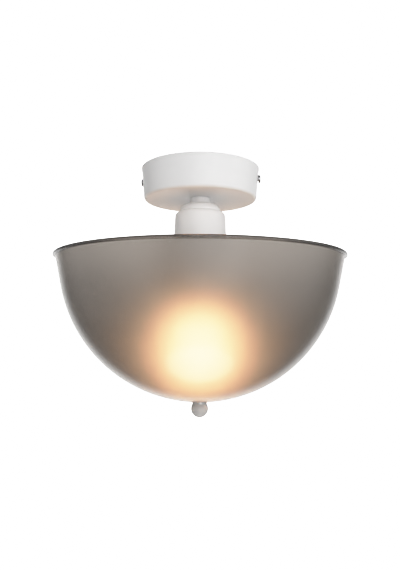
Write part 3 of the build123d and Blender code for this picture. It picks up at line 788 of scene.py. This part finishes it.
def piece_mesh(name: str, surfaces: Sequence[Surface], sharp: float) -> bpy.types.Mesh:
    """Put surfaces into one mesh, with closed poles and smooth shading.

    Args:
        name: Name of the mesh.
        surfaces: The surfaces, in millimetres.
        sharp: Angle in degrees from which an edge stays sharp.

    Returns:
        The mesh, in metres.
    """
    counts = [surface.points.shape[0] * surface.points.shape[1] for surface in surfaces]
    firsts = np.cumsum([0, *counts[:-1]])
    points = np.concatenate([surface.points.reshape(-1, 3) for surface in surfaces]) * MM
    quads = np.concatenate([surface.quads() + first for surface, first in zip(surfaces, firsts)])
    mesh = bpy.data.meshes.new(name)
    mesh.from_pydata(points.tolist(), [], quads.tolist())
    work = bmesh.new()
    work.from_mesh(mesh)
    bmesh.ops.remove_doubles(work, verts=work.verts, dist=MERGE)
    work.to_mesh(mesh)
    work.free()
    mesh.shade_smooth()
    mesh.set_sharp_from_angle(angle=math.radians(sharp))
    return mesh


def add_piece(
    name: str, surfaces: Sequence[Surface], finish: Finish, body: Body, node: str, sharp: float = 40,
) -> bpy.types.Object:
    """Make a piece that stands for a CAD node.

    Args:
        name: Name of the piece.
        surfaces: Its surfaces, in millimetres.
        finish: Its finish.
        body: Body that it rides on.
        node: CAD node that it replaces.
        sharp: Angle in degrees from which an edge stays sharp.

    Returns:
        The new object.
    """
    mesh = piece_mesh(name, surfaces, sharp)
    mesh.materials.append(finish.material())
    piece = bpy.data.objects.new(name, mesh)
    bpy.context.scene.collection.objects.link(piece)
    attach(piece, body.value)
    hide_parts(node)
    LOG.info("%s: %d faces on %s", name, len(mesh.polygons), body.value)
    return piece


def dress_nodes(finish: Finish, *nodes: str) -> None:
    """Give CAD nodes that stay as they are a finish.

    Args:
        finish: The finish.
        nodes: Names of the nodes.
    """
    for name in nodes:
        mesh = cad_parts[name].data
        mesh.materials.clear()
        mesh.materials.append(finish.material())
        LOG.info("%s: CAD node in %s", name, finish.slot)


@dataclass
class Canopy:
    """Drawn cup against the ceiling, with its bracket and screws."""

    height: float = 33.6
    base: float = 59.8
    wall: float = 1.2
    corner: float = 3.2
    draft: float = 4.6
    dish: float = 2.8
    seat: float = 13.0
    seat_round: float = 20.0
    flare_height: float = 3.5
    flare_round: float = 6.0
    edge_height: float = 0.9
    hole: float = 5.3
    screw_drop: float = 11.4

    def shell(self) -> Surface:
        """Turn the canopy: a drafted wall with a flared edge, a round corner and a dished floor.

        Returns:
            The canopy's closed surface.
        """
        edge, base, bottom = Span.of("canopy").radius, self.base, -self.height
        middle = bottom + self.dish
        neck = base + (self.height - self.flare_height) * math.tan(math.radians(self.draft))
        corners = [
            (self.hole, middle, 0.2),
            (self.seat, middle, self.seat_round),
            (base, bottom, self.corner),
            (neck, -self.flare_height, self.flare_round),
            (edge, -self.edge_height, self.edge_height),
            (edge, 0, 0.3),
            (edge - self.wall, 0, 0.3),
            (edge - self.wall, -self.edge_height, self.edge_height),
            (neck - self.wall, -self.flare_height, self.flare_round),
            (base - self.wall, bottom + self.wall, self.corner - self.wall),
            (self.seat, middle + self.wall, self.seat_round),
            (self.hole, middle + self.wall, 0.2),
        ]
        return lathe(rounded(corners, steps=9), segments=256)

    def build(self) -> None:
        """Make the canopy and its screws, and dress the bracket."""
        add_piece("canopy_shell", [self.shell()], WHITE, Body.FIXTURE, "canopy")
        screw = Screw(head_radius=4.2, head_height=2.6, shank_radius=2.0, shank_length=6.0)
        seat = Span.of("canopy_side_screws").radius - screw.head_height
        screws = [
            screw.surface().placed((side * seat, 0, -self.screw_drop), facing)
            for side, facing in ((1, Facing.RIGHT), (-1, Facing.LEFT))
        ]
        add_piece("canopy_screws", screws, NICKEL, Body.FIXTURE, "canopy_side_screws")
        dress_nodes(ZINC, "ceiling_bracket", "block_screws", "earth_screw", "terminal_screws")


@dataclass
class Wiring:
    """Terminal block, earth tag and inner wires."""

    def build(self) -> None:
        """Dress the CAD nodes of the wiring."""
        dress_nodes(BLOCK, "terminal_block")
        dress_nodes(BRASS, "terminal_tubes", "earth_tag")
        dress_nodes(LIVE, "live_wire")
        dress_nodes(NEUTRAL, "neutral_wire")
        dress_nodes(EARTH, "earth_wire")


@dataclass
class StemAndCup:
    """Threaded tube with its nuts, the sleeve and the cup that hides the lampholder."""

    hole: float = 5.3
    tube_radius: float = 5.0
    tube_bore: float = 4.0
    tube_thread: Thread = Thread(1.0, 0.5, 0.5, 0.5)
    sleeve_round: float = 0.8
    cup_wall: float = 1.0
    dome_radius: float = 21.7
    dome_round: float = 7.7
    dome_land: float = 0.7
    shoulder_round: float = 5.0
    nut_flats: float = 14.0

    def cup(self) -> Surface:
        """Turn the cup: a flat top, a domed step, a round shoulder and a slightly flaring wall.

        Returns:
            The cup's closed surface.
        """
        span = Span.of("lamp_cup")
        step = span.top - self.dome_round - self.dome_land
        shoulder = self.dome_radius + self.shoulder_round
        inside = self.dome_radius - self.cup_wall
        corners = [
            (self.hole, span.top, 0.2),
            (self.dome_radius, span.top, self.dome_round),
            (self.dome_radius, step, 0.25),
            (shoulder, step, self.shoulder_round),
            (span.radius, span.bottom, 0.35),
            (span.radius - self.cup_wall, span.bottom, 0.35),
            (shoulder - self.cup_wall, step - self.cup_wall, self.shoulder_round - self.cup_wall),
            (inside, step - self.cup_wall, 0.2),
            (inside, span.top - self.cup_wall, self.dome_round - self.cup_wall),
            (self.hole, span.top - self.cup_wall, 0.2),
        ]
        return lathe(rounded(corners, steps=10), segments=192)

    def sleeve(self) -> Surface:
        """Turn the sleeve: a short tube with a rounded upper edge.

        Returns:
            The sleeve's closed surface.
        """
        span = Span.of("stem_sleeve")
        corners = [
            (self.hole, span.top, 0.15), (span.radius, span.top, self.sleeve_round),
            (span.radius, span.bottom, 0.2), (self.hole, span.bottom, 0.15),
        ]
        return lathe(rounded(corners), segments=128)

    def tube(self) -> Surface:
        """Turn the tube, with a fine thread all along it.

        Returns:
            The tube's closed surface.
        """
        span = replace(Span.of("threaded_tube"), radius=self.tube_radius)
        groove = self.tube_thread.swell(span.bottom, span.top, CREST * span.radius)
        profile = refined(ring_profile(span, self.tube_bore, 0.15, 0.4), step=0.2)
        return lathe(profile, segments=64, swell=groove)

    def build(self) -> None:
        """Make the pieces from the canopy's floor to the cup."""
        add_piece("stem_tube", [self.sleeve()], WHITE, Body.FIXTURE, "stem_sleeve")
        add_piece("cup_shell", [self.cup()], WHITE, Body.FIXTURE, "lamp_cup")
        add_piece("cord_tube", [self.tube()], ZINC, Body.FIXTURE, "threaded_tube")
        for name, node in (("canopy_nut", "tube_lock_nut"), ("cup_nut", "cup_lock_nut")):
            span = Span.of(node)
            nut = HexNut(self.nut_flats, self.tube_radius + PLAY).surface(span.bottom, span.top)
            add_piece(name, [nut], ZINC, Body.FIXTURE, node, sharp=20)
        washer = lathe(ring_profile(Span.of("tube_lock_washer"), self.hole, 0.1, 0.2), segments=96)
        add_piece("star_washer", [washer], ZINC, Body.FIXTURE, "tube_lock_washer")


@dataclass
class Lampholder:
    """Cap, skirt, shade ring and screw shell for a 27 mm screw cap."""

    wall: float = 2.2
    tube_hole: float = 5.05
    boss_radius: float = 8.0
    boss_height: float = 6.0
    cap_round: float = 9.0
    bore: float = 17.4
    spigot_bore: float = 15.15
    spigot_radius: float = 16.75
    spigot_height: float = 4.0
    ledge: float = 14.2
    ledge_height: float = 1.5
    skirt_thread: Thread = Thread(2.5, 0.7, 1.2, 8.0)
    skirt_margin: float = 0.01
    shell_wall: float = 0.45
    shell_thread: Thread = Thread(3.63, 0.3, 0.0, 2.0)
    grips: int = 16
    grip_radius: float = 1.3
    grip_depth: float = 1.0
    grip_segments: int = 24
    rim_crown: float = 0.03

    def cap(self) -> Surface:
        """Turn the cap: a boss on the tube and a domed cover.

        Returns:
            The cap's closed surface.
        """
        span = Span.of("lampholder_cap")
        shoulder = span.top - self.boss_height
        corners = [
            (self.tube_hole, span.top, 0.2),
            (self.boss_radius, span.top, 0.8),
            (self.boss_radius, shoulder, 0.6),
            (span.radius, shoulder, self.cap_round),
            (span.radius, span.bottom, 0.4),
            (span.radius - self.wall, span.bottom, 0.3),
            (span.radius - self.wall, shoulder - self.wall, self.cap_round - self.wall),
            (self.tube_hole, shoulder - self.wall, 0.2),
        ]
        return lathe(rounded(corners), segments=128)

    def skirt(self) -> Surface:
        """Turn the skirt: spigot, ledge and an outside thread for the shade ring.

        Returns:
            The skirt's closed surface.
        """
        span = Span.of("lampholder_skirt")
        joint = span.top - self.spigot_height
        corners = [
            (self.spigot_bore, span.top, 0.3),
            (self.spigot_radius, span.top, 0.3),
            (self.spigot_radius, joint, 0.2),
            (span.radius, joint, 0.4),
            (span.radius, span.bottom, 0.8),
            (self.bore, span.bottom, 0.8),
            (self.bore, joint - self.ledge_height, 0.3),
            (self.ledge, joint - self.ledge_height, 0.2),
            (self.ledge, joint, 0.2),
            (self.spigot_bore, joint, 0.2),
        ]
        groove = self.skirt_thread.swell(span.bottom, joint, span.radius - self.skirt_margin)
        return lathe(refined(rounded(corners), step=0.35), segments=128, swell=groove)

    def shell(self) -> Surface:
        """Turn the screw shell: a thin brass sleeve with a shallow rolled thread.

        Returns:
            The screw shell's closed surface.
        """
        span = Span.of("lampholder_shell")
        inside = span.radius - self.shell_wall
        corners = [
            (inside, span.top, 0.1), (span.radius, span.top, 0.1),
            (span.radius, span.bottom, 0.15), (inside, span.bottom, 0.15),
        ]
        groove = self.shell_thread.swell(span.bottom, span.top, 0)
        return lathe(refined(rounded(corners, hold=0.03), step=0.4), segments=96, swell=groove)

    def ring(self) -> Surface:
        """Turn the shade ring, with grips round its rim.

        Returns:
            The ring's closed surface.
        """
        span = Span.of("shade_ring")
        hole = Span.of("lampholder_skirt").radius + PLAY
        rim = span.radius + self.rim_crown
        bite = notches(self.grips, rim, self.grip_radius, rim - self.grip_depth)
        profile = ring_profile(replace(span, radius=rim), hole, 0.2, 0.8)
        return lathe(profile, self.grips * self.grip_segments, swell=bite)

    def build(self) -> None:
        """Make the turned pieces and dress the inner ones."""
        add_piece("holder_cap", [self.cap()], HOLDER, Body.FIXTURE, "lampholder_cap")
        add_piece("holder_skirt", [self.skirt()], HOLDER, Body.FIXTURE, "lampholder_skirt")
        add_piece("holder_shell", [self.shell()], BRASS, Body.FIXTURE, "lampholder_shell")
        add_piece("holder_ring", [self.ring()], HOLDER, Body.FIXTURE, "shade_ring")
        dress_nodes(PORCELAIN, "lampholder_insert")
        dress_nodes(BRASS, "centre_contact", "lampholder_terminals")
        dress_nodes(ZINC, "terminal_clamp_screws")


@dataclass
class BowlCarrier:
    """Ring under the cup, bent rod round the bulb, saddle and stud."""

    rod_radius: float = 2.0
    rod_step: float = 0.16
    rod_segments: int = 32
    bend: float = 16.0
    lead_in: float = 0.8
    threaded: float = 16.0
    pitch: float = 0.7
    groove: float = 0.18
    nut_flats: float = 7.0
    nut_height: float = 3.2
    stud_thread: Thread = Thread(1.0, 0.55, 0.4, 0.0)

    def hoop(self) -> Surface:
        """Carry the rod down one leg, round two bends and up the other, with threaded ends.

        The thread is groove * (cos(turn * depth / pitch - angle) - 1), fading out over a pitch.

        Returns:
            The hoop's surface.
        """
        span = Span.of("carrier_hoop")
        half = span.radius - self.rod_radius
        corner = span.bottom + self.rod_radius + self.bend
        leg = np.arange(span.top, corner, -self.rod_step)
        left = np.stack([np.full(len(leg), -half), leg], axis=1)
        knee = arc(corner, self.bend, 180, 270, 40) + (self.bend - half, 0)
        side = np.vstack([left, knee])
        path = np.vstack([side, side[::-1] * (-1, 1)])
        depth = span.top - path[:, 1:]
        angle = np.linspace(0, TURN, self.rod_segments, endpoint=False)[None, :]
        fade = np.clip((self.threaded - depth) / self.pitch, 0, 1)
        wave = np.cos(TURN * depth / self.pitch - angle * np.sign(path[:, :1])) - 1
        lead = np.clip(0.5 + depth / self.lead_in, 0, 1)
        return rod(path, self.rod_radius * lead + self.groove * wave * fade)

    def nuts(self) -> list[Surface]:
        """Two nuts on each end of the hoop, above and below the ring.

        Returns:
            The four nuts.
        """
        half = Span.of("carrier_hoop").radius - self.rod_radius
        span = Span.of("hoop_nuts")
        nut = HexNut(self.nut_flats, self.rod_radius + PLAY)
        levels = ((span.top - self.nut_height, span.top), (span.bottom, span.bottom + self.nut_height))
        pair = [nut.surface(low, high) for low, high in levels]
        return [one.placed((side * half, 0, 0)) for side in (-1, 1) for one in pair]

    def stud(self) -> Surface:
        """Turn the stud, with a fine thread.

        Returns:
            The stud's surface, from pole to pole.
        """
        span = Span.of("carrier_stud")
        groove = self.stud_thread.swell(span.bottom, span.top, CREST * span.radius)
        profile = refined(plug_profile(span, span.radius, 0.3, 0.5), step=0.15, closed=False)
        return lathe(profile, segments=48, closed=False, swell=groove)

    def build(self) -> None:
        """Make the hoop, its nuts and the stud, and dress ring and saddle."""
        add_piece("carrier_rod", [self.hoop()], ZINC, Body.FIXTURE, "carrier_hoop", sharp=60)
        add_piece("carrier_nuts", self.nuts(), ZINC, Body.FIXTURE, "hoop_nuts", sharp=20)
        add_piece("carrier_pin", [self.stud()], ZINC, Body.FIXTURE, "carrier_stud")
        dress_nodes(ZINC, "carrier_ring", "carrier_saddle")


@dataclass
class GlassBowl:
    """Open glass bowl with a beaded lip, its rubber washer and its bush."""

    radius: float = 145.5
    wall: float = 3.0
    rise: float = 4.5
    opening: float = 11.0
    lip_height: float = 2.8
    lip_round: float = 1.3
    lip_root: float = 0.9
    hole: float = 5.3
    hole_edge: float = 0.3
    bush_bore: float = 3.3
    bush_radius: float = 5.0

    def side(self, height: float, radius: float) -> tuple[float, float]:
        """Point of the straight wall above a round of this radius.

        Args:
            height: Height of the point.
            radius: Radius of the round below the wall.

        Returns:
            Its radius, R cos b + (height - start) tan b for an opening of b, and its height.
        """
        opening = math.radians(self.opening)
        start = Span.of("bowl").top - self.rise - radius * math.sin(opening)
        return radius * math.cos(opening) + (height - start) * math.tan(opening), height

    def shell(self) -> Surface:
        """Turn the bowl: two arcs about one centre, straight walls, a lip and a drilled flat.

        Returns:
            The bowl's closed surface.
        """
        span = Span.of("bowl")
        centre, radius, inside = span.top - self.rise, self.radius, self.radius - self.wall
        lower, upper, lip_bottom = span.bottom, span.bottom + self.wall, span.top - self.lip_height
        outer_last = -math.degrees(math.asin((centre - lower) / radius))
        inner_first = -math.degrees(math.asin((centre - upper) / inside))
        outer = arc(centre, radius, -self.opening, outer_last, 120)
        inner = arc(centre, inside, inner_first, -self.opening, 120)
        bead = rounded([
            (*inner[-1], 0),
            (*self.side(span.top, inside), self.lip_round),
            (span.radius, span.top, self.lip_round),
            (span.radius, lip_bottom, self.lip_round),
            (*self.side(lip_bottom, radius), self.lip_root),
            (*outer[0], 0),
        ], closed=False, steps=9)
        hole, edge = self.hole, self.hole_edge
        drilled = np.array([
            (hole + edge, lower), (hole, lower + edge), (hole, upper - edge), (hole + edge, upper),
        ])
        return lathe(np.vstack([bead, outer[1:], drilled, inner[:-1]]), segments=256)

    def mark(self, mesh: bpy.types.Mesh) -> None:
        """Mark the points on the inside, which lie nearer to its surface than to the outside's.

        Args:
            mesh: The bowl's mesh, which gets the attribute.
        """
        places = np.empty(3 * len(mesh.vertices))
        mesh.vertices.foreach_get("co", places)
        across, along, height = places.reshape(-1, 3).T / MM
        reach = np.hypot(across, along)
        rise = height - (Span.of("bowl").top - self.rise)
        opening = math.radians(self.opening)
        on_round = rise < -reach * math.tan(opening)
        on_wall = reach * math.cos(opening) - rise * math.sin(opening)
        inside = np.where(on_round, np.hypot(reach, rise), on_wall) < self.radius - self.wall / 2
        layer = mesh.attributes.new(SmokedGlass.mark, "FLOAT", "POINT")
        layer.data.foreach_set("value", inside.astype(float))

    def build(self) -> None:
        """Make the bowl, its washer and its bush."""
        bowl = add_piece("glass_bowl", [self.shell()], GLASS, Body.BOWL, "bowl", sharp=70)
        self.mark(bowl.data)
        washer = lathe(ring_profile(Span.of("bowl_washer"), self.hole, 0.2, 0.6), segments=96)
        add_piece("rubber_washer", [washer], RUBBER, Body.BOWL, "bowl_washer")
        span = Span.of("bowl_bush")
        flange_top = Span.of("bowl").bottom
        corners = [
            (self.bush_bore, span.bottom, 0.15), (span.radius, span.bottom, 0.3),
            (span.radius, flange_top, 0.15), (self.bush_radius, flange_top, 0.1),
            (self.bush_radius, span.top, 0.3), (self.bush_bore, span.top, 0.15),
        ]
        bush = lathe(rounded(corners), segments=96)
        add_piece("nylon_bush", [bush], NYLON, Body.BOWL, "bowl_bush")


@dataclass
class Finial:
    """Ball on a short neck that holds the bowl, with its washer."""

    neck_radius: float = 7.6
    neck_height: float = 1.5
    bore: float = 4.55
    bore_depth: float = 9.0
    washer_hole: float = 3.3

    def ball(self) -> Surface:
        """Turn the ball: a short neck with a soft edge, run into a sphere.

        Returns:
            The ball's surface, from the bore's floor to its lowest point.
        """
        span = Span.of("finial_ball")
        radius = span.radius
        centre = span.bottom + radius
        meet = math.degrees(math.acos(self.neck_radius / radius))
        floor = span.top - self.bore_depth
        top = rounded([
            (0, floor, 0), (self.bore, floor, 0.2), (self.bore, span.top, 0.25),
            (self.neck_radius, span.top, 0.35), (self.neck_radius, span.top - self.neck_height, 0),
        ], closed=False)
        profile = np.vstack([top[:-1], arc(centre, radius, meet, -90, 72)])
        profile[-1, 0] = 0
        return lathe(profile, segments=128, closed=False)

    def build(self) -> None:
        """Make ball and washer, and dress the insert."""
        # The knob's grey paint is white paint with painted shade from the bowl above it.
        add_piece("finial_knob", [self.ball()], FINIAL_PAINT_WITH_PAINTED_SHADE, Body.FINIAL, "finial_ball")
        washer = lathe(ring_profile(Span.of("finial_washer"), self.washer_hole, 0.1, 0.2), segments=96)
        add_piece("steel_washer", [washer], ZINC, Body.FINIAL_CARRIER, "finial_washer")
        dress_nodes(BRASS, "finial_insert")


@dataclass
class Bulb:
    """Lit bulb with a 27 mm screw cap."""

    radius: float = 30.0
    wall: float = 1.2
    slope: float = 19.2
    brim_edge: float = 0.2
    groove_height: float = 1.6
    groove_half: float = 0.5
    groove_depth: float = 0.4
    cap_thread: Thread = Thread(3.63, 1.1, 3.0, 0.5)
    seat_radius: float = 6.2
    light_colour: Colour = (1.0, 0.645, 0.4)
    light_power: float = 0.61
    light_radius: float = 33.0
    light_height: float = -174.0

    def diffuser(self) -> Surface:
        """Turn the diffuser: a straight side that runs into a round end, as a thin shell.

        Returns:
            The diffuser's surface, from pole to pole.
        """
        span = Span.of("bulb_diffuser")
        centre = span.bottom + self.radius
        angle = math.radians(self.slope)
        rise = span.top - centre - self.radius * math.sin(angle)
        joint = self.radius * math.cos(angle) - rise * math.tan(angle)
        inner_joint = joint - self.wall / math.cos(angle)
        outside = arc(centre, self.radius, self.slope, -90, 60)
        inside = arc(centre, self.radius - self.wall, -90, self.slope, 60)
        outside[-1, 0] = inside[0, 0] = 0
        edge = self.brim_edge
        brim = np.array([(inner_joint, span.top), (joint - edge, span.top), (joint, span.top - edge)])
        return lathe(np.vstack([inside, brim, outside]), segments=128, closed=False)

    def housing(self) -> Surface:
        """Turn the housing: a cone with a fine groove above the diffuser.

        Returns:
            The housing's surface, from pole to pole.
        """
        span = Span.of("bulb_housing")
        slope = math.tan(math.radians(self.slope))
        collar = span.radius - (span.top - span.bottom) * slope
        groove, half = span.bottom + self.groove_height, self.groove_half
        floor = collar + (span.top - groove) * slope - self.groove_depth
        corners = [
            (0, span.top, 0),
            (collar, span.top, 0.4),
            (collar + (span.top - groove - half) * slope, groove + half, 0.1),
            (floor, groove + half / 2, 0.1),
            (floor, groove - half / 2, 0.1),
            (collar + (span.top - groove + half) * slope, groove - half, 0.1),
            (span.radius, span.bottom, 0.15),
            (0, span.bottom, 0),
        ]
        return lathe(rounded(corners, closed=False), segments=128, closed=False)

    def screw_cap(self) -> Surface:
        """Turn the screw cap, with a rolled round thread.

        Returns:
            The cap's surface, from pole to pole.
        """
        span = Span.of("bulb_screw_cap")
        groove = self.cap_thread.swell(span.bottom, span.top, CREST * span.radius)
        profile = refined(plug_profile(span, span.radius, 2.0, 0.2), step=0.4, closed=False)
        return lathe(profile, segments=96, closed=False, swell=groove)

    def build(self) -> None:
        """Make the bulb's pieces, and dress its board."""
        add_piece("bulb_dome", [self.diffuser()], OPAL, Body.BULB, "bulb_diffuser")
        add_piece("bulb_body", [self.housing()], BULB_WHITE, Body.BULB, "bulb_housing")
        add_piece("bulb_thread", [self.screw_cap()], BULB_NICKEL, Body.BULB, "bulb_screw_cap", sharp=60)
        profile = plug_profile(Span.of("bulb_insulator"), self.seat_radius, 0.4, 0.2)
        seat = lathe(profile, segments=96, closed=False)
        add_piece("bulb_glass_seat", [seat], BULB_BLACK, Body.BULB, "bulb_insulator")
        span = Span.of("bulb_tip")
        tip = lathe(plug_profile(span, span.radius, 1.3, 0.2), segments=64, closed=False)
        add_piece("bulb_contact", [tip], BULB_NICKEL, Body.BULB, "bulb_tip")
        dress_nodes(BOARD, "bulb_board")
        self.light()

    def light(self) -> None:
        """Put the bulb's warm light on the axis: a soft ball that its dome neither takes nor blocks."""
        data = bpy.data.lights.new("bulb_light", "POINT")
        data.color = self.light_colour
        data.energy = self.light_power
        data.shadow_soft_size = self.light_radius * MM
        data.use_soft_falloff = False
        data.cycles.use_multiple_importance_sampling = False
        light = bpy.data.objects.new("bulb_light", data)
        light.location.z = self.light_height * MM
        bpy.context.scene.collection.objects.link(light)
        roles = (
            ("receiver_collection", ("bulb_dome", "bulb_body")),
            ("blocker_collection", ("bulb_dome",)),
        )
        for role, names in roles:
            spared = bpy.data.collections.new(f"bulb_{role}")
            setattr(light.light_linking, role, spared)
            for name in names:
                spared.objects.link(bpy.data.objects[name])
            for member in spared.collection_objects:
                member.light_linking.link_state = "EXCLUDE"


@dataclass(frozen=True)
class SoftLight:
    """A soft patch of studio light in the world: a direction, its half widths and its strength."""

    direction: tuple[float, float, float]
    inner: float
    outer: float
    strength: float


@dataclass
class Studio:
    """White studio: a world of soft patches, a pale floor far below and the camera."""

    backdrop: float = 3.0
    base: float = 0.01
    patches: tuple[SoftLight, ...] = (
        SoftLight((-0.13, 0.99, 0.0), 31, 48, 1.12),
        SoftLight((-0.13, 0.99, -0.15), 60, 90, 0.24),
        SoftLight((0.28, -0.95, -0.12), 5, 32, 2.3),
        SoftLight((0.28, -0.92, 0.28), 5, 35, 1.2),
        SoftLight((0.95, -0.3, 0.0), 15, 55, 1.12),
        SoftLight((-0.9, -0.42, 0.0), 15, 55, 0.7),
    )
    floor_drop: float = 3.0
    floor_radius: float = 1.0
    floor_grey: float = 0.86
    floor_roughness: float = 0.8
    floor_light: float = 1.8
    film_white: float = 3.0
    film_shoulder: tuple[Ends, ...] = (
        (0.4, 0.4), (0.78, 0.78), (1.0, 0.905), (1.4, 0.965), (2.0, 0.99),
    )
    camera_distance: float = 0.53975
    camera_height: float = -0.1625
    camera_azimuth: float = 7.5
    camera_pitch: float = 4.13
    camera_roll: float = 0.2
    camera_lens: float = 32.25
    camera_sensor: float = 36.0
    camera_near: float = 0.01

    def world(self) -> None:
        """Light the world with soft patches on a base, and show the camera a white backdrop.

        A patch is a smooth step of the cosine of the angle to its direction.
        """
        world = bpy.data.worlds.new("studio")
        bpy.context.scene.world = world
        tree = Tree(world)
        place = tree.node("TexCoord").outputs["Generated"]
        total = self.base
        for patch in self.patches:
            direction = np.array(patch.direction) / np.linalg.norm(patch.direction)
            facing = tree.node("VectorMath", {"operation": "DOT_PRODUCT"}, _0=place, _1=direction)
            step = tree.node(
                "MapRange", {"interpolation_type": "SMOOTHSTEP"}, Value=facing.outputs["Value"],
                From_Min=math.cos(math.radians(patch.outer)),
                From_Max=math.cos(math.radians(patch.inner)), To_Max=patch.strength,
            )
            total = tree.node("Math", _0=total, _1=step.outputs["Result"]).outputs["Value"]
        seen = tree.node("LightPath").outputs["Is Camera Ray"]
        strength = tree.node("Mix", _0=seen, _2=total, _3=self.backdrop).outputs[0]
        background = tree.nodes["Background"]
        background.inputs["Color"].default_value = (1, 1, 1, 1)
        tree.links.new(strength, background.inputs["Strength"])

    def floor(self) -> None:
        """Lay a pale, softly lit disc far below the lamp."""
        angle = np.linspace(0, TURN, 128, endpoint=False)
        rim = self.floor_radius * np.stack([np.cos(angle), np.sin(angle)], axis=1)
        points = np.column_stack([rim, np.full(len(rim), -self.floor_drop)])
        mesh = bpy.data.meshes.new("floor")
        mesh.from_pydata(points.tolist(), [], [list(range(len(points)))])
        graph = Graph("floor_paper")
        graph.set(
            Base_Color=(*(self.floor_grey,) * 3, 1), Roughness=self.floor_roughness,
            Emission_Strength=self.floor_light,
        )
        mesh.materials.append(graph.material)
        floor = bpy.data.objects.new("floor", mesh)
        bpy.context.scene.collection.objects.link(floor)

    def camera(self) -> None:
        """Set the camera at the photograph's angle."""
        data = bpy.data.cameras.new("camera")
        data.sensor_fit = "AUTO"
        data.sensor_width = self.camera_sensor
        data.lens = self.camera_lens
        data.clip_start = self.camera_near
        camera = bpy.data.objects.new("camera", data)
        turn = math.radians(self.camera_azimuth)
        distance = self.camera_distance
        camera.location = (distance * math.sin(turn), -distance * math.cos(turn), self.camera_height)
        tilt = Matrix.Rotation(math.radians(90 + self.camera_pitch), 4, "X")
        roll = Matrix.Rotation(math.radians(self.camera_roll), 4, "Z")
        camera.rotation_euler = (Matrix.Rotation(turn, 4, "Z") @ tilt @ roll).to_euler()
        bpy.context.scene.collection.objects.link(camera)
        bpy.context.scene.camera = camera

    def film(self) -> None:
        """Set a plain view transform with a soft shoulder for bright colours, as film has."""
        view = bpy.context.scene.view_settings
        view.view_transform = "Standard"
        view.use_curve_mapping = True
        view.curve_mapping.white_level = (self.film_white,) * 3
        combined = view.curve_mapping.curves[3]
        for light, result in self.film_shoulder:
            combined.points.new(light / self.film_white, result)
        view.curve_mapping.update()

    def build(self) -> None:
        """Set world, floor, camera and film."""
        self.world()
        self.floor()
        self.camera()
        self.film()
        LOG.info("studio ready")


def main() -> None:
    """Build every sub-assembly and the studio."""
    logging.basicConfig(level=logging.INFO, format="%(message)s")
    groups = (
        Canopy(), Wiring(), StemAndCup(), Lampholder(), BowlCarrier(),
        GlassBowl(), Finial(), Bulb(), Studio(),
    )
    for group in groups:
        group.build()


if __name__ == "__main__":
    main()
